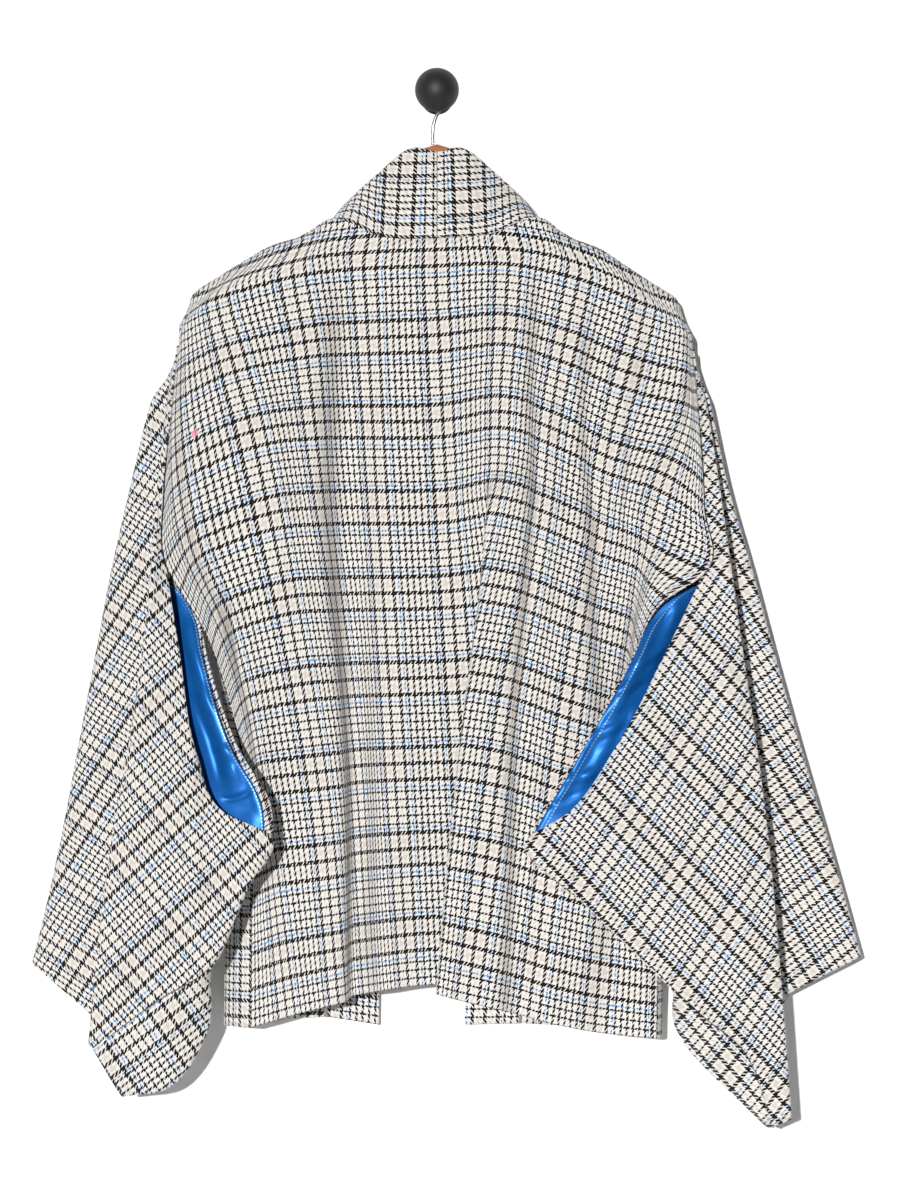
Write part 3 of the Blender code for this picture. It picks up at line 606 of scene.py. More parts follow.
def back_row(share):
    """One row walked along the weft: x and depth are sums of steps times cosine and sine of the turn."""
    weft = np.linspace(BACK_LEFT, BACK_RIGHT, WALK_STEPS)
    middle = np.argmin(np.abs(weft))
    top = back_drop(weft)
    length = top + share * (BACK_LENGTH - top)
    height = back_height(weft, length)
    stride = np.hypot(np.gradient(weft), np.gradient(length))
    stride = np.sqrt(np.maximum(stride ** 2 - np.gradient(height) ** 2, (LEAST_STRIDE * stride) ** 2))
    turn = back_turn(weft, length) * smooth((length - top) / FOLDS_LENGTH)
    side = np.where(weft < 0, track(SIDE_ROWS, length, 1), track(SIDE_ROWS, length, 2))
    turned = smooth((np.abs(weft) - SIDE_TURN_FROM) / (SIDE_TURN_FULL - SIDE_TURN_FROM))
    x = np.cumsum(stride * np.cos(turn) * np.cos(np.radians(side * turned)))
    out = np.cumsum(stride * np.sin(turn))
    x -= x[middle]
    out -= out[middle]
    mid_x = track(BACK_ROWS, length[middle], 2)
    left = track(BACK_ROWS, length[0], 1) - mid_x
    right = track(BACK_ROWS, length[-1], 3) - mid_x
    x = mid_x + np.where(weft < 0, x * left / x[0], x * right / x[-1])
    here = np.interp(SET_WARPS, weft, x)
    at = length[middle]
    seen = [track(WARP_ROWS, at, k) for k in range(1, 8)]
    seen = np.array([here[0], *seen[:4], here[5], *seen[4:], here[-1]])
    x += track(np.stack([SET_WARPS, seen - here], -1), weft, 1) * smooth(share / WARP_EASE)
    out -= np.where(weft < 0, out[0] * weft / BACK_LEFT, out[-1] * weft / BACK_RIGHT)
    depth = back_depth(weft, length) + out
    return weft, np.stack([x, depth, height], -1), length


def back_top(weft):
    """Point (x, depth, z) on the back's top edge."""
    wefts, points, _ = back_row(0.0)
    return np.stack([np.interp(weft, wefts, points[:, k]) for k in range(3)], -1)


def back_panel(a, b):
    """Back: rows from the top edge to the hem, read at the grid's columns, with each point's cloth place."""
    points = np.zeros(a.shape + (3,))
    cloth = np.zeros(a.shape + (2,))
    for row in range(a.shape[0]):
        weft, line, length = back_row(b[row, 0])
        at = back_weft(a[row], np.interp(0, weft, length))
        points[row] = np.stack([np.interp(at, weft, line[:, k]) for k in range(3)], -1)
        cloth[row] = np.stack([at, np.interp(at, weft, length)], -1)
    return points, cloth


print("neck edge at the centre, (x, depth, z):", back_top(0.0).round(1))

# %% [markdown]
# The weft lines are numbered from a broad black line near the neck, and the warp lines from a broad
# brown one down the middle. Small creases are placed where wear puts them: below the shoulders,
# beside the armholes and above the hem.

# %% The back as a piece
BACK_WEFT_LINE = 11.4
ROLL_ROWS = ((0, 0.15, 1), (0, 0.06, 1))
BACK_CREASES = (
    # from x, z, to x, z, bow, width, height
    (-215, -250, -205, -480, -6, 12, 2.4),
    (-197, -420, -181, -570, 3, 6, -4.0),
    (-208, -430, -194, -560, 3, 10, 3.0),
    (-190, -300, -178, -560, -5, 10, -2.2),
    (-150, -280, -150, -520, 4, 14, 1.6),
    (60, -210, 66, -420, 6, 16, 2.2),
    (140, -230, 146, -430, 5, 12, 1.8),
    (176, -260, 172, -420, 4, 10, -2.4),
    (198, -330, 188, -470, -4, 9, 2.0),
    (186, -425, 190, -500, 3, 6, -2.2),
    (-30, -520, -40, -760, 6, 20, 1.4),
    (-60, -700, -75, -860, 4, 12, 1.6),
    (100, -600, 92, -860, -4, 12, 1.8),
    (150, -560, 150, -840, 4, 14, 1.5),
    (-140, -640, -146, -860, 3, 14, 1.6),
)


def back_rows(b):
    """Rows of the back: closer where it rolls over the hanger."""
    return np.interp(b, *ROLL_ROWS)


a, b = grid(sum(BACK_COLUMNS), BACK_GRID_ROWS)
back_points, back_cloth = back_panel(a, back_rows(b))
back_points = creased(back_points, BACK_CREASES)
back_cloth = back_cloth + [0, -BACK_WEFT_LINE]
back = cloth_piece("back_panel", back_points, back_cloth, back_wool)
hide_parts("back")

# %% [markdown]
# ## The fronts
# The two fronts hang behind the back, nearly flat against the wall, and only their lower corners
# show. Each starts at the shoulder seam, rolls over the hanger and drops, from the armhole and side
# seam to the edge where the band is sewn on.

# %% The fronts' measures and surface
FRONT_TRACKS = {
    "left": dict(
        # station, x, z, depth
        armhole=((0, -240, -227, 32), (0.08, -238, -275, 18), (0.20, -237, -350, 19), (0.28, -241, -412, 38),
                 (0.33, -246, -449, 63)),
        front=((0, -104, -119, 47), (0.05, -104, -150, 24), (0.15, -101, -220, 14), (0.4, -95, -400, 12),
               (0.7, -97, -620, 14), (1.0, -102, -856, 16)),
        bulge=((0, -10), (0.31, -10), (0.36, -16), (0.42, -12), (0.5, 4), (0.75, 22), (0.9, 30), (1.0, 30)),
    ),
    "right": dict(
        armhole=((0, 236, -229, 32), (0.08, 236, -276, 18), (0.20, 236, -350, 19), (0.28, 239, -414, 38),
                 (0.33, 241, -452, 63)),
        front=((0, 104, -119, 47), (0.05, 104, -150, 24), (0.15, 102, -220, 14), (0.4, 97, -400, 12),
               (0.7, 87, -620, 14), (1.0, 76, -862, 16)),
        bulge=((0, -10), (0.31, -10), (0.36, -16), (0.42, -12), (0.5, 2), (0.75, 8), (0.9, 10), (1.0, 10)),
    ),
}
SIDE_SEAM_TOP = 258.0
SIDE_SEAM_EASE = 0.02
FRONT_BACK_DEPTH = 13.0
FRONT_WAVE = 5.0
FRONT_WAVES = 5
FRONT_GRID = (60, 130)
FRONT_ROLL = 10.0
FRONT_EASE = 0.12
NECK_WEFT = 104.0
OUTWARD = {"left": -1, "right": 1}


def front_side(side, b):
    """Side edge of a front: the armhole, then the side seam just inside the back's edge."""
    armhole = FRONT_TRACKS[side]["armhole"]
    start = armhole[-1][0] + SIDE_SEAM_EASE
    upper = track_point(armhole, b)
    length = SIDE_SEAM_TOP + np.clip((b - start) / (1 - start), 0, 1) * (BACK_LENGTH - SIDE_SEAM_TOP)
    seam = back_edge(side, length) - [0, 1.5 * SEAM_STEP, 0]
    return upper + (seam - upper) * smooth((b - start) / SIDE_SEAM_EASE + 1)[..., None]


def front_edge(side, b):
    """Front edge, where the band is sewn: from the back's neck point down to the hem."""
    rows = FRONT_TRACKS[side]["front"]
    start = back_top(OUTWARD[side] * NECK_WEFT) - [0, RIDGE_STEP, 0] - track_point(rows, 0.0)
    return track_point(rows, b) + start * (1 - smooth(b / FRONT_EASE))[..., None]


def front_panel(side, a, b):
    """Front: a rounded section from side to band at each length, eased out of a roll over the hanger."""
    outward = OUTWARD[side]
    edge = front_side(side, b)
    front = front_edge(side, b) + np.array([RIDGE_STEP * outward, 0, 0])
    round_x = edge[..., 0] + outward * track(FRONT_TRACKS[side]["bulge"], b, 1)
    deep = FRONT_BACK_DEPTH + FRONT_WAVE * np.sin(b * FRONT_WAVES)

    def between(share, depth):
        x = round_x + (front[..., 0] - round_x) * share
        z = edge[..., 2] + (front[..., 2] - edge[..., 2]) * share
        return np.stack([x, depth + 0 * x, z], -1)

    heel = np.stack([round_x, edge[..., 1] * 0.6 + deep * 0.4, edge[..., 2]], -1)
    waves = [between(0.12, deep), between(0.4, deep + FRONT_WAVE), between(0.7, deep - 2)]
    hung = section([edge, heel, *waves, front], a)
    weft = (1 - a) * (BACK_LEFT if side == "left" else BACK_RIGHT) + a * outward * NECK_WEFT
    shift = (edge - front_side(side, 0 * b)) * (1 - a)[..., None]
    shift += (front - front_edge(side, 0 * b)) * a[..., None]
    ridge = back_top(weft) - [0, RIDGE_STEP, 0] + shift
    reach = np.clip(b * BACK_LENGTH, 0, FRONT_ROLL)
    ridge[..., 1] -= np.sqrt(2 * FRONT_ROLL * reach - reach ** 2) * smooth(a * 6) * smooth((1 - a) * 6)
    return ridge + (hung - ridge) * smooth(b / FRONT_EASE)[..., None]


def upright_cloth(points):
    """Cloth place of a piece that hangs straight: arc length along each row, and height down the wall."""
    sign = np.sign(points[..., -1, 0] - points[..., 0, 0])[:, None]
    return np.stack([sign * walked(points), NECK_Z - BACK_WEFT_LINE - points[..., 2]], -1)


a, b = grid(*FRONT_GRID)
for side in SIDES:
    points = front_panel(side, a, back_rows(b))
    front = cloth_piece("front_panel_" + side, points, upright_cloth(points), wool)
    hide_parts("front_" + side)

# %% [markdown]
# ## The band
# A straight band runs round the neck and down both front edges. It is cut along the warp, in two
# halves sewn together at the centre back, so its brown lines lie across the neck and its black ones
# stand up, and they do not quite meet at the seam. It stands up from the neck seam, then turns over
# the shoulder.

# %% The band's measures and surface
COLLAR_NECK = 0.18
COLLAR_FRONT = 0.20
BAND_BOW = 5.0
HEM_SWING = -14.5
BAND_GRID = (40, 200)
NECK_ROWS = ((0, 0.45, 0.6, 1), (0, COLLAR_NECK, 0.26, 1))
COLLAR_FREE = (
    # station, x, z, depth
    (0.0, 0.2, -55, 60),
    (0.06, 27, -53, 59),
    (0.11, 55, -75, 48),
    (0.16, 77, -94, 34),
    (0.20, 90, -108, 18),
    (0.23, 90, -124, 12),
    (0.26, 74, -150, 9),
    (0.40, 58, -252, 8),
    (0.65, 48, -472, 8),
    (0.85, 42, -694, 9),
    (1.0, 40, -864, 10),
)
BAND_PHASE = {
    # first broad warp line above the neck seam, first broad weft line right of the centre
    "left": (1.0, -36.0),
    "right": (32.0, 30.0),
}


def collar_seam(side, b):
    """Seam edge of the band: along the back's neck edge, then down the front's edge."""
    weft = NECK_WEFT * np.clip(b / COLLAR_NECK, 0, 1)
    neck = back_top(weft * OUTWARD[side]) + [0, BAND_STEP, -BAND_LAP]
    neck[..., 0] -= back_top(0.0)[0] * (1 - smooth(b / COLLAR_NECK))
    share = np.clip((b - COLLAR_FRONT) / (1 - COLLAR_FRONT), 0, 1)
    ease = smooth((b - COLLAR_NECK) / (COLLAR_FRONT - COLLAR_NECK))[..., None]
    return neck + (front_edge(side, share) - neck) * ease


def collar(side, a, b):
    """Half of the band: straight from its seam to its free edge, with a soft bow towards us."""
    seam = collar_seam(side, b) + np.array([SEAM_GAP / 2 * OUTWARD[side], 0, 0])
    free = track_point(COLLAR_FREE, b) * [OUTWARD[side], 1, 1]
    free[..., 0] += HEM_SWING * b ** 2
    points = seam + (free - seam) * a[..., None]
    points[..., 1] += BAND_BOW * np.sin(pi * a) * (1 - smooth(b / COLLAR_FRONT))
    return points


def band_rows(b):
    """Rows of the band: close round the neck, wider down the front."""
    return np.interp(b, *NECK_ROWS)


def band_cloth(side, points):
    """Cloth place on the band: distance from the seam across it, and from the centre back along it."""
    wide = walked(points)
    long = walked(points[:, points.shape[1] // 2])
    warp_line, weft_line = BAND_PHASE[side]
    return np.stack([wide - warp_line, OUTWARD[side] * long[:, None] - weft_line + 0 * wide], -1)


a, b = grid(*BAND_GRID)
for side in SIDES:
    points = collar(side, a, band_rows(b))
    half = cloth_piece("neck_band_" + side, points, band_cloth(side, points), wool)
    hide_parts("collar_" + side)

# %% [markdown]
# ## The sleeves
# A sleeve is one wide rectangle, folded over the shoulder and sewn along the bottom, open at the
# wrist and, below the underarm, towards the body. Hanging empty, it swings forward and folds
# lengthwise: an inner part towards the body, a sharp fold, then an outer part that goes round to the
# wall. A section across the sleeve is a rounded line led by fourteen control points, and each point
# follows its own track from the shoulder to the wrist.

# %% The sleeves' measures
UNDERARM = 0.45
CORNER = 0.75
UNDERARM_LENGTH = 244.0
SLEEVE_TOP = 51.0
FRONT_TOP = 0.012
FRONT_UNDERARM = 0.31
FOLD_ROUND = 4.5
ROUND_START = 0.1
ROUND_FULL = 0.3
SLEEVE_EASE = 0.16
SLEEVE_BULGE = 4.0
BULGE_EASE = 0.08
SLEEVE_TRACKS = {
    "left": dict(
        # station, x, z, depth
        inner=((0.45, -247, -447, 87), (0.55, -235, -517, 100), (0.65, -219, -608, 110),
               (0.71, -196, -660, 117), (0.75, -150, -685, 118), (0.80, -172, -730, 112),
               (0.87, -206, -802, 105), (0.93, -255, -834, 101), (1.0, -315, -879, 92)),
        fold=((0, -243, -235, 40), (0.15, -249, -290, 58), (0.30, -256, -362, 77), (0.45, -262, -446, 90),
              (0.55, -269, -515, 96), (0.65, -281, -600, 100), (0.75, -297, -690, 100),
              (0.87, -311, -795, 97), (1.0, -319, -876, 88)),
        under=((0, -244, -235, 37), (0.15, -249, -290, 49), (0.30, -246, -362, 63), (0.45, -258, -446, 77),
               (0.55, -262, -516, 79), (0.65, -266, -600, 79), (0.75, -273, -690, 79), (0.87, -287, -795, 77),
               (1.0, -300, -866, 72)),
        outer=((0, -245, -234, 35), (0.15, -264, -284, 42), (0.30, -282, -358, 44), (0.45, -302, -447, 45),
               (0.55, -315, -517, 46), (0.65, -330, -597, 47), (0.75, -345, -678, 47),
               (0.87, -361, -752, 46), (1.0, -374, -804, 45)),
        heel=((0, -244, -234, 32), (0.15, -256, -286, 20), (0.30, -264, -360, 16), (0.45, -275, -450, 16),
              (0.75, -295, -700, 16), (0.87, -304, -800, 16), (1.0, -318, -842, 20)),
        roll=((0, -243, -234, 31), (0.15, -245, -286, 18), (0.30, -246, -360, 20), (0.45, -256, -449, 40),
              (0.55, -247, -520, 64), (0.65, -240, -606, 72), (0.75, -226, -700, 78), (0.82, -208, -748, 80),
              (0.87, -208, -806, 78), (0.93, -205, -876, 72), (0.97, -240, -927, 68), (1.0, -286, -934, 62)),
        edge=((0.45, -249, -447, 62), (0.48, -232, -463, 66), (0.51, -219, -485, 75), (0.55, -211, -517, 92),
              (0.65, -181, -604, 104), (0.71, -152, -654, 108), (0.75, -149, -686, 115)),
    ),
    "right": dict(
        inner=((0.45, 242, -449, 88), (0.55, 206, -522, 102), (0.65, 162, -604, 112),
               (0.71, 122, -660, 118), (0.75, 80, -691, 120), (0.80, 134, -744, 116),
               (0.87, 200, -808, 108), (0.93, 243, -848, 104), (0.97, 287, -890, 96), (1.0, 308, -952, 86)),
        fold=((0, 239, -237, 40), (0.15, 248, -287, 58), (0.30, 258, -358, 82), (0.45, 270, -446, 92),
              (0.55, 280, -520, 96), (0.65, 292, -602, 98), (0.75, 303, -691, 99),
              (0.87, 313, -800, 97), (1.0, 325, -944, 84)),
        under=((0, 240, -237, 37), (0.15, 247, -289, 46), (0.30, 247, -358, 50), (0.45, 261, -446, 48),
               (0.55, 268, -520, 46), (0.65, 274, -602, 45), (0.75, 281, -688, 45), (0.87, 289, -765, 45),
               (1.0, 300, -846, 45)),
        outer=((0, 241, -236, 35), (0.15, 252, -284, 40), (0.30, 269, -362, 40), (0.45, 293, -446, 39),
               (0.55, 313, -521, 39), (0.65, 336, -603, 39), (0.75, 361, -688, 39),
               (0.87, 377, -744, 39), (1.0, 392, -798, 39)),
        heel=((0, 240, -236, 32), (0.15, 247, -286, 20), (0.30, 256, -360, 16), (0.45, 266, -450, 16),
              (0.75, 300, -700, 16), (0.87, 312, -790, 16), (1.0, 322, -828, 20)),
        roll=((0, 239, -236, 31), (0.15, 242, -286, 18), (0.30, 244, -358, 20), (0.45, 254, -450, 40),
              (0.55, 232, -524, 56), (0.65, 236, -606, 64), (0.75, 236, -700, 74), (0.82, 232, -752, 80),
              (0.87, 224, -812, 80), (0.93, 215, -866, 76), (0.97, 243, -905, 72), (1.0, 300, -951, 66)),
        edge=((0.45, 244, -449, 62), (0.48, 217, -463, 66), (0.51, 196, -487, 73), (0.55, 178, -522, 93),
              (0.65, 132, -604, 107), (0.71, 100, -657, 112), (0.75, 80, -692, 117)),
    ),
}
print("tracks of a sleeve:", ", ".join(SLEEVE_TRACKS["left"]))

# %% The sleeves' surface


def sleeve_controls(side, b):
    """Control points across a sleeve, from the back's armhole round the wrist tube to the front's."""
    tracks = SLEEVE_TRACKS[side]
    share = np.clip(b / UNDERARM, 0, 1)
    above = (b < UNDERARM)[..., None]
    step = np.array([SEAM_STEP * OUTWARD[side], 0, 0])
    seam_back = back_edge(side, SLEEVE_TOP + (UNDERARM_LENGTH - SLEEVE_TOP) * share) + step
    seam_front = front_side(side, FRONT_TOP + (FRONT_UNDERARM - FRONT_TOP) * share) + step
    inner = np.where(above, seam_back, track_point(tracks["inner"], b))
    fold, under, outer, heel, roll = [track_point(tracks[name], b)
                                      for name in ("fold", "under", "outer", "heel", "roll")]
    sewn = track_point(tracks["inner"], b) - [0, 2 * SEAM_STEP, SEAM_STEP]
    loose = track_point(tracks["edge"], b)
    edge = np.where(above, seam_front, np.where((b < CORNER)[..., None], loose, sewn))
    size = np.clip(ROUND_START + b / ROUND_FULL, 0, 1)[..., None]
    out = np.array([0, FOLD_ROUND, 0]) * size
    turn = out * 2 * size
    hung = [inner, (inner + fold) / 2 + out * 0.4, fold + out, fold - out, under + out, under - out,
            (under + outer) / 2, outer + turn, outer - turn, heel, (heel + roll) / 2 - out,
            roll - out, (roll + edge) / 2 + out, edge]
    ease = smooth(b / SLEEVE_EASE)[..., None]
    bulge = np.array([SLEEVE_BULGE * OUTWARD[side], 0, 0])
    controls = []
    for k, point in enumerate(hung):
        place = k / (len(hung) - 1)
        arc = inner + (edge - inner) * place + bulge * np.sin(pi * place) * smooth(b / BULGE_EASE)[..., None]
        controls.append(arc + (point - arc) * ease)
    return controls


def sleeve(side, a, b):
    """Sleeve: sections from the shoulder to the wrist."""
    return section(sleeve_controls(side, b), a)


print("control points across a sleeve:", len(sleeve_controls("left", np.zeros((1, 1)))))

# %% [markdown]
# The sleeve's grain lies askew, because the cloth swings down from the shoulder: its weft lines fall
# outwards, more steeply on the outer part than on the inner. So its cloth places come from the plane
# of the wall: a table says where one repeat of the check leads along the weft and along the warp, and
# where two broad lines cross. Inner part, outer part and the low roll each have their own row. The
# first two are laid flat past their edge, so that the check walks round the fold. They blend where a
# fold hides it.

# %% The sleeves' grain and pieces
SLEEVE_GRID = (216, 160)
FLAT_FROM = 0.1
FOLD_AT = 1 / 6
UNDER_AT = 1 / 3
OUTER_AT = 0.60
BEHIND_FROM = 0.70
BEHIND_AT = 0.82
ROLL_FROM = 0.78
ROLL_AT = 0.87
REPEAT = np.array([END * WARP_REPEAT, PICK * WEFT_REPEAT])
GRAIN = {
    # part: one repeat along the weft (x, z), one along the warp (x, z), a crossing of broad lines (x, z)
    "left": dict(
        inner=((42, 40), (51, -61), (-295, -605)),
        outer=((31, 48), (62, -40), (-296, -619)),
        behind=((-37, 58), (-62, -48), (-207, -907)),
    ),
    "right": dict(
        inner=((45, -46), (-46, -65), (267, -653)),
        outer=((35, -55), (-60, -47), (335, -664)),
        behind=((-41, -55), (53, -58), (227, -951)),
    ),
}
SLEEVE_CREASES = {
    "left": (
        # from x, z, to x, z, bow, width, height
        (-231, -560, -222, -790, 4, 13, 7.0),
        (-262, -520, -275, -760, -6, 16, 2.0),
        (-250, -640, -262, -840, 3, 12, 2.2),
        (-225, -735, -170, -745, 4, 8, -3.0),
        (-300, -700, -292, -860, 3, 14, 1.8),
    ),
    "right": (
        (245, -480, 275, -620, 8, 14, 2.2),
        (215, -540, 255, -700, 8, 14, 2.4),
        (180, -590, 240, -760, 10, 14, 2.6),
        (150, -650, 225, -800, 10, 14, 2.2),
        (262, -640, 285, -860, 6, 16, 2.0),
    ),
}


def slanted_cloth(points, grain):
    """Cloth place on the wall plane: how many repeats along weft and warp lead there from the crossing."""
    along, down, crossing = np.array(grain, float)
    return (points[..., [0, 2]] - crossing) @ np.linalg.inv(np.stack([along, down])) * REPEAT


def laid_flat(side, points, share):
    """Sleeve points whose x, past a share of the columns, is the distance walked across from there."""
    start = int(share * (points.shape[1] - 1))
    flat = points.copy()
    flat[:, start:, 0] = points[:, [start], 0] + OUTWARD[side] * walked(points[:, start:, :2])
    return flat


def sleeve_cloth(side, points, a, b):
    """Cloth place on a sleeve: inner part, outer part round its edge, then the roll, set to whole repeats."""
    inner = slanted_cloth(laid_flat(side, points, FLAT_FROM), GRAIN[side]["inner"])
    outer = slanted_cloth(laid_flat(side, points, (UNDER_AT + OUTER_AT) / 2), GRAIN[side]["outer"])
    behind = slanted_cloth(points, GRAIN[side]["behind"])
    strip = (a > BEHIND_FROM) & (a < BEHIND_AT) & (b > ROLL_FROM)
    behind -= np.round(np.mean((behind - outer)[strip], axis=0) / REPEAT) * REPEAT
    to_outer = smooth((a - FOLD_AT) / (UNDER_AT - FOLD_AT))[..., None]
    low = smooth((b - ROLL_FROM) / (ROLL_AT - ROLL_FROM))[..., None]
    to_behind = low * smooth((a - BEHIND_FROM) / (BEHIND_AT - BEHIND_FROM))[..., None]
    return inner + (outer - inner) * to_outer + (behind - outer) * to_behind


a, b = grid(*SLEEVE_GRID)
for side in SIDES:
    points = sleeve(side, a, b)
    in_front = (a < FOLD_AT)[..., None]
    points = np.where(in_front, creased(points, SLEEVE_CREASES[side]), points)
    tube = cloth_piece("sleeve_tube_" + side, points, sleeve_cloth(side, points, a, b), wool,
                       flip=side == "left")
    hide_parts("sleeve_" + side)

# %% [markdown]
# ## The lining in the openings
# Where a sleeve is open towards the body, the inside of its front layer shows, lined in satin. The
# lining is made from the sleeve's own surface, moved to the inside by half of both thicknesses. Soft
# wrinkles run along the opening, and small pulls cross the edge where it is stitched.

# %% The lining
LINING_FROM = 0.72
LINING_TO = {"left": 0.992, "right": 0.999}
LINING_TOP = 0.46
LINING_LOW = 0.747
LINING_LIFT = 2.0
PULL_HEIGHT = 0.5
PULLS = 60
PULL_AT = 0.94
PULL_WIDE = 0.06
RISE_AT_EDGE = 0.04
RISE_INSIDE = 0.1
LINING_GRID = (110, 220)
INSIDE = {"left": 1, "right": -1}
LINING_CREASES = {
    "left": (
        # from x, z, to x, z, bow, width, height
        (-238, -470, -206, -590, 3, 10, 3.2),
        (-216, -540, -180, -655, 4, 14, 6.0),
        (-204, -600, -170, -625, 3, 8, 2.4),
        (-200, -650, -166, -640, -4, 5, -2.2),
        (-182, -610, -158, -672, 2, 7, 2.6),
        (-222, -560, -196, -640, 3, 6, -1.8),
    ),
    "right": (
        (228, -462, 186, -545, 2, 9, 3.6),
        (204, -485, 150, -582, 3, 11, 4.6),
        (222, -500, 176, -530, 3, 7, 2.6),
        (196, -535, 146, -556, 3, 7, 2.8),
        (176, -575, 122, -600, 3, 7, 2.8),
        (150, -622, 102, -634, 3, 7, 2.6),
        (166, -545, 132, -582, 5, 5, -2.0),
        (168, -575, 124, -648, 3, 8, 2.6),
        (142, -585, 98, -668, 3, 9, 3.8),
        (132, -640, 92, -658, 3, 5, -2.2),
        (186, -560, 150, -620, 4, 7, 2.2),
    ),
}


def moved_out(points, distance):
    """The grid moved along its normals: the cross product of its two directions, at unit length."""
    normal = np.cross(np.gradient(points, axis=1), np.gradient(points, axis=0))
    normal /= np.linalg.norm(normal, axis=-1, keepdims=True)
    return points + normal * distance


def lining(side, a, b):
    """Lining: the sleeve's front layer at its opening, moved to the inside, wrinkled, pulled at its edge."""
    points = sleeve(side, LINING_FROM + (LINING_TO[side] - LINING_FROM) * a,
                    LINING_TOP + (LINING_LOW - LINING_TOP) * b)
    pulls = PULL_HEIGHT * np.sin(PULLS * b + 2 * np.sin(9 * b)) * hump((a - PULL_AT) / PULL_WIDE)
    rise = LINING_LIFT * smooth((1 - a) / RISE_AT_EDGE) * smooth(a / RISE_INSIDE) + pulls
    clear = WOOL / 2 + SATIN / 2 + SEAM_GAP
    return creased(moved_out(points, INSIDE[side] * (clear + rise[..., None])), LINING_CREASES[side])


def lining_cloth(points):
    """Cloth place on the lining: distance in from its stitched edge, and length along that edge."""
    inwards = walked(points[:, ::-1])[:, ::-1]
    return np.stack([inwards, walked(points[:, -1])[:, None] + 0 * inwards], -1)


a, b = grid(*LINING_GRID)
for side in SIDES:
    points = lining(side, a, b)
    cover = cloth_piece("sleeve_lining_" + side, points, lining_cloth(points), satin[side],
                        SATIN, flip=side == "left")
    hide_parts("lining_" + side)

# %% [markdown]
# ## Hanger, hook and knob
# The hanger is a shaped piece of beech under clear varnish. Its section is a rounded rectangle that
# is carried from tip to tip, so it is a grid of rings. The hook is bent wire, a circle carried along
# its route, and the knob is turned: a profile of radius and depth spun about its stem.

# %% Wood, chrome and black finishes
WOOD_FLECKS = (30.0, 400.0, 400.0)  # per metre: flecks 33 mm long and 2.5 mm wide
DRAWN_LINES = 900.0  # per metre: marks of about a millimetre, coarser than real ones so that they show
LACQUER_PEEL = 600.0  # per metre: dimples under 2 mm wide
HARD_RELIEF = 0.0003


def varnished_beech():
    """Beech: warm brown with fine lengthwise grain and short flecks, under half-gloss varnish."""
    finish, tree, shader = finish_tree("varnished_beech")
    place = node(tree, "TexCoord")
    long = node(tree, "Mapping", {"Vector": place.outputs["Object"], "Scale": WOOD_FLECKS})
    grain = node(tree, "TexNoise", {"Vector": long.outputs[0], "Scale": 1.0, "Detail": 6.0,
                                    "Roughness": 0.65})
    ramp = node(tree, "ValToRGB", {0: grain.outputs[0]})
    ramp.color_ramp.elements[0].position = 0.3
    ramp.color_ramp.elements[0].color = hex_colour("#96542f")
    ramp.color_ramp.elements[1].position = 0.7
    ramp.color_ramp.elements[1].color = hex_colour("#c8824f")
    bump = node(tree, "Bump", {"Strength": 0.15, "Distance": HARD_RELIEF, "Height": grain.outputs[0]})
    feed(tree, shader, {"Base Color": ramp.outputs[0], "Normal": bump.outputs[0], "Roughness": 0.35,
                        "Coat Weight": 0.3})
    return finish


def bent_chrome():
    """Chromed steel wire: grey metal with a thin bright line, and faint drawing lines in its gloss."""
    finish, tree, shader = finish_tree("chromed_wire")
    place = node(tree, "TexCoord")
    noise = node(tree, "TexNoise", {"Vector": place.outputs["Object"], "Scale": DRAWN_LINES, "Detail": 2.0})
    gloss = node(tree, "MapRange", {0: noise.outputs[0], 3: 0.08, 4: 0.18})
    feed(tree, shader, {"Base Color": hex_colour("#6c6b6e"), "Metallic": 1.0, "Roughness": gloss.outputs[0]})
    return finish


def black_lacquer():
    """Matt black lacquer on a turned knob: nearly black, a soft sheen, a little orange peel."""
    finish, tree, shader = finish_tree("matt_black_lacquer")
    place = node(tree, "TexCoord")
    peel = node(tree, "TexNoise", {"Vector": place.outputs["Object"], "Scale": LACQUER_PEEL, "Detail": 3.0})
    ramp = node(tree, "ValToRGB", {0: peel.outputs[0]})
    ramp.color_ramp.elements[0].color = hex_colour("#161616")
    ramp.color_ramp.elements[1].color = hex_colour("#262626")
    bump = node(tree, "Bump", {"Strength": 0.08, "Distance": HARD_RELIEF, "Height": peel.outputs[0]})
    feed(tree, shader, {"Base Color": ramp.outputs[0], "Normal": bump.outputs[0], "Roughness": 0.55})
    return finish


hard = [varnished_beech(), bent_chrome(), black_lacquer()]
print("hard finishes:", [finish.name for finish in hard])

# %% Hanger, hook and knob as grids
HANGER_CLEAR = 3.2
HANGER_DEPTH = 46.0
HANGER_SQUARE = 0.6
HANGER_MIDDLE = (
    # x, top z, height, depth of its middle, thickness
    (-46, -96, 30, 47, 11),
    (-20, -53, 42, 48, 12),
    (0, -47, 40, 48, 12),
    (20, -53, 42, 48, 12),
    (46, -96, 30, 47, 11),
)
HANGER_ARM = (
    # weft line, height, thickness, extra drop
    (84, 26, 11, 8),
    (125, 26, 11, 5),
    (170, 26, 11, 1),
    (208, 23, 11, 0.3),
    (236, 20, 10, 0.3),
    (246, 8, 6, 8),
)
WIRE = 3.0
HOOK_ROUTE = (
    # x, z
    (-4, -47.3), (-4, -38), (-3, -28), (1, -18), (8, -10), (10.4, -2), (7.2, 5.2),
    (0, 8.1), (-7.2, 5.2), (-10.2, -2), (-8.6, -8),
)
HOOK_DEPTH = 48.0
BALL_RADIUS = 20.2
BALL_DEPTH = 80.0
STEM_RADIUS = 6.2
BASE_RADIUS = 15.0
BASE_THICK = 5.0
STEM_FOOT = 0.6
BALL_START = 0.02
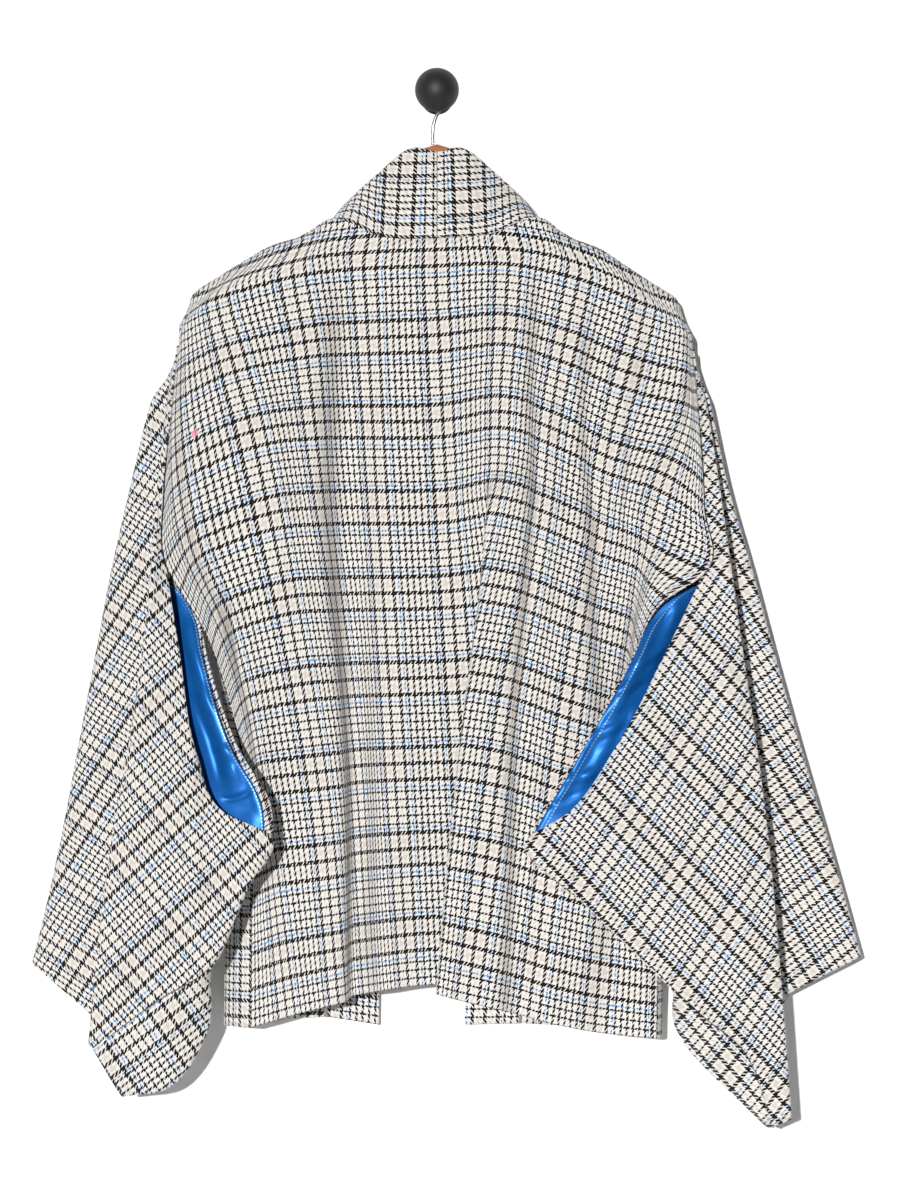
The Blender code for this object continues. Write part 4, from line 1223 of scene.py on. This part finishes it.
BALL_RINGS = 60
HANGER_GRID = (220, 32)
HOOK_GRID = (160, 20)
KNOB_SIDES = 96


def ring_piece(name, node_name, rings, finish):
    """Piece from a stack of rings, with each end closed by a ring shrunk to a point."""
    ends = [np.repeat(ring.mean(0)[None], len(ring), 0) for ring in (rings[0], rings[-1])]
    rings = np.concatenate([ends[0][None], rings, ends[1][None]])
    faces = grid_faces(*rings.shape[:2], around=True)
    piece = add_mesh(name, rings.reshape(-1, 3), faces, finish)
    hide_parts(node_name)
    print(f"{name}: {len(rings)} rings of {rings.shape[1]} points")
    return piece


def hanger_rings(count, sides):
    """Rounded rectangles (a superellipse, cos and sin to a small power) along a line through the rows."""
    arms = {}
    for side, outward in OUTWARD.items():
        arms[side] = []
        for weft, height, thick, drop in HANGER_ARM:
            x, depth, z = back_top(outward * float(weft))
            depth = min(depth - RIDGE_STEP / 2, HANGER_DEPTH)
            arms[side].append((x, z - HANGER_CLEAR - drop, height, depth, thick))
    rows = np.array(arms["left"][::-1] + list(HANGER_MIDDLE) + arms["right"], float)
    x = np.linspace(rows[0, 0], rows[-1, 0], count)
    top, height, depth, thick = [np.interp(x, rows[:, 0], rows[:, k])[:, None] for k in range(1, 5)]
    angle = 2 * pi * (np.arange(sides) + 0.5) / sides
    across_y = np.sign(np.cos(angle)) * np.abs(np.cos(angle)) ** HANGER_SQUARE
    up_z = np.sign(np.sin(angle)) * np.abs(np.sin(angle)) ** HANGER_SQUARE
    return np.stack([x[:, None] + 0 * angle, depth + thick / 2 * across_y,
                     top - height / 2 + height / 2 * up_z], -1)


def hook_rings(count, sides):
    """Circles of the wire's radius along a smooth route, square to it in the plane of the wall."""
    route = [(k, x, z) for k, (x, z) in enumerate(HOOK_ROUTE)]
    stations = np.linspace(0, len(route) - 1, count)
    x, z = track(route, stations, 1), track(route, stations, 2)
    heading = np.arctan2(np.gradient(z), np.gradient(x))[:, None]
    angle = 2 * pi * np.arange(sides) / sides
    out = WIRE / 2 * np.cos(angle)
    return np.stack([x[:, None] - out * np.sin(heading), HOOK_DEPTH + WIRE / 2 * np.sin(angle) + 0 * heading,
                     z[:, None] + out * np.cos(heading)], -1)


def knob_rings(sides):
    """Profile of radius and depth, a ball on a stem on a base, spun round the stem."""
    neck = np.arcsin(STEM_RADIUS / BALL_RADIUS)
    arc = np.linspace(BALL_START, pi - neck, BALL_RINGS)
    radius = np.append(BALL_RADIUS * np.sin(arc), [STEM_RADIUS, STEM_RADIUS, BASE_RADIUS, BASE_RADIUS])
    foot = [BASE_THICK + STEM_FOOT, BASE_THICK, BASE_THICK, 0]
    depth = np.append(BALL_DEPTH + BALL_RADIUS * np.cos(arc), foot)[:, None]
    angle = 2 * pi * np.arange(sides) / sides
    return np.stack([radius[:, None] * np.cos(angle), depth + 0 * angle, radius[:, None] * np.sin(angle)], -1)


beech, chrome, lacquer = hard
ring_piece("beech_hanger", "hanger", hanger_rings(*HANGER_GRID), beech)
wire = ring_piece("wire_hook", "hanger_hook", hook_rings(*HOOK_GRID), chrome)
knob = ring_piece("turned_knob", "wall_knob", knob_rings(KNOB_SIDES), lacquer)
wire.visible_shadow = False
knob.visible_shadow = False

# %% [markdown]
# ## Wall, floor, light and camera
# The jacket hangs on a white wall. One strong lamp stands nearly in front of it, a little to the left
# and above, so folds show by a narrow dark edge on their right, and a faint light from all round
# softens them. The wall is seen from its front only, so that the jacket can also be looked at from
# behind, and a second soft lamp lights that side. Knob and wire cast no shadow, to keep the wall clear.

# %% Stage
WALL_SIZE = 6.0
WALL_Y = 0.001
FLOOR_Z = -1.5
MOTTLE = 3.0  # per metre: clouds in the paint a third of a metre wide


def plain_paint(name, colour, one_sided):
    """Matt paint with a faint mottle; a one-sided wall is clear from behind."""
    finish, tree, shader = finish_tree(name)
    place = node(tree, "TexCoord")
    mottle = node(tree, "TexNoise", {"Vector": place.outputs["Object"], "Scale": MOTTLE, "Detail": 2.0})
    ramp = node(tree, "ValToRGB", {0: mottle.outputs[0]})
    ramp.color_ramp.elements[0].color = hex_colour(colour)
    ramp.color_ramp.elements[1].color = hex_colour("#ffffff")
    feed(tree, shader, {"Base Color": ramp.outputs[0], "Roughness": 0.95, "Specular IOR Level": 0.0})
    if one_sided:
        face = node(tree, "NewGeometry")
        clear = node(tree, "BsdfTransparent")
        mixed = node(tree, "MixShader", {0: face.outputs["Backfacing"], 1: shader.outputs[0],
                                         2: clear.outputs[0]})
        feed(tree, tree.nodes["Material Output"], {"Surface": mixed.outputs[0]})
    return finish


def stage_plane(name, corners, finish):
    """One flat face of the stage from its four corners."""
    mesh = bpy.data.meshes.new(name)
    mesh.from_pydata(corners, [], [(0, 1, 2, 3)])
    mesh.materials.append(finish)
    plane = bpy.data.objects.new(name, mesh)
    bpy.context.scene.collection.objects.link(plane)
    return plane


half = WALL_SIZE / 2
wall_corners = [(x, WALL_Y, z) for x, z in ((-half, FLOOR_Z), (half, FLOOR_Z), (half, half), (-half, half))]
floor_corners = [(x, y, FLOOR_Z) for x, y in ((-half, -half), (half, -half), (half, half), (-half, half))]
wall = stage_plane("white_wall", wall_corners, plain_paint("white_wall_paint", "#fbfbfb", True))
wall.visible_shadow = False
stage_plane("pale_floor", floor_corners, plain_paint("pale_floor_paint", "#f4f4f4", False))
print("wall and floor:", WALL_SIZE, "m wide")

# %% Lights and camera
PIXEL = 0.92
PHOTO_CENTRE = (450, 600)
ORIGIN_PIXEL = (437, 91)
PHOTO_HEIGHT = 1200
SENSOR = 36.0
LENS = 150.0
REFERENCE_DEPTH = 70.0
KEY_FROM = (-0.17, -1.0, 0.11)
KEY_AWAY = 4
KEY_STRENGTH = 3.2
KEY_SIZE = 0.025
BEHIND_FROM_WALL = (1.0, 2.5, 0.4)
BEHIND_WATTS = 6.0
BEHIND_SIZE = 2.0
ROOM_STRENGTH = 0.04
JACKET_MIDDLE = np.array([0.0, 0.0, -0.46])


def add_light(name, kind, energy, place, size):
    """Light that looks at the middle of the jacket from a place in metres."""
    lamp = bpy.data.lights.new(name, kind)
    lamp.energy = energy
    if kind == "AREA":
        lamp.size = size
    else:
        lamp.angle = size
    light = bpy.data.objects.new(name, lamp)
    light.location = place
    light.rotation_euler = Vector(JACKET_MIDDLE - np.array(place)).to_track_quat("-Z", "Y").to_euler()
    bpy.context.scene.collection.objects.link(light)
    return light


key_place = tuple(JACKET_MIDDLE + KEY_AWAY * np.array(KEY_FROM))
add_light("key_from_left", "SUN", KEY_STRENGTH, key_place, KEY_SIZE)
add_light("behind_the_wall", "AREA", BEHIND_WATTS, BEHIND_FROM_WALL, BEHIND_SIZE)

world = bpy.data.worlds.new("soft_room")
world.use_nodes = True
feed(world.node_tree, world.node_tree.nodes["Background"],
     {"Color": hex_colour("#f4f7ff"), "Strength": ROOM_STRENGTH})
bpy.context.scene.world = world
bpy.context.scene.view_settings.view_transform = "Standard"

camera = bpy.data.objects.new("camera", bpy.data.cameras.new("camera"))
camera.data.lens = LENS
camera.data.sensor_width = SENSOR
distance = PHOTO_HEIGHT * PIXEL * MM * LENS / SENSOR
camera.location = ((PHOTO_CENTRE[0] - ORIGIN_PIXEL[0]) * PIXEL * MM, -distance - REFERENCE_DEPTH * MM,
                   (ORIGIN_PIXEL[1] - PHOTO_CENTRE[1]) * PIXEL * MM)
camera.rotation_euler = (pi / 2, 0, 0)
bpy.context.scene.collection.objects.link(camera)
bpy.context.scene.camera = camera
print("camera", round(distance, 3), "m from the cloth")
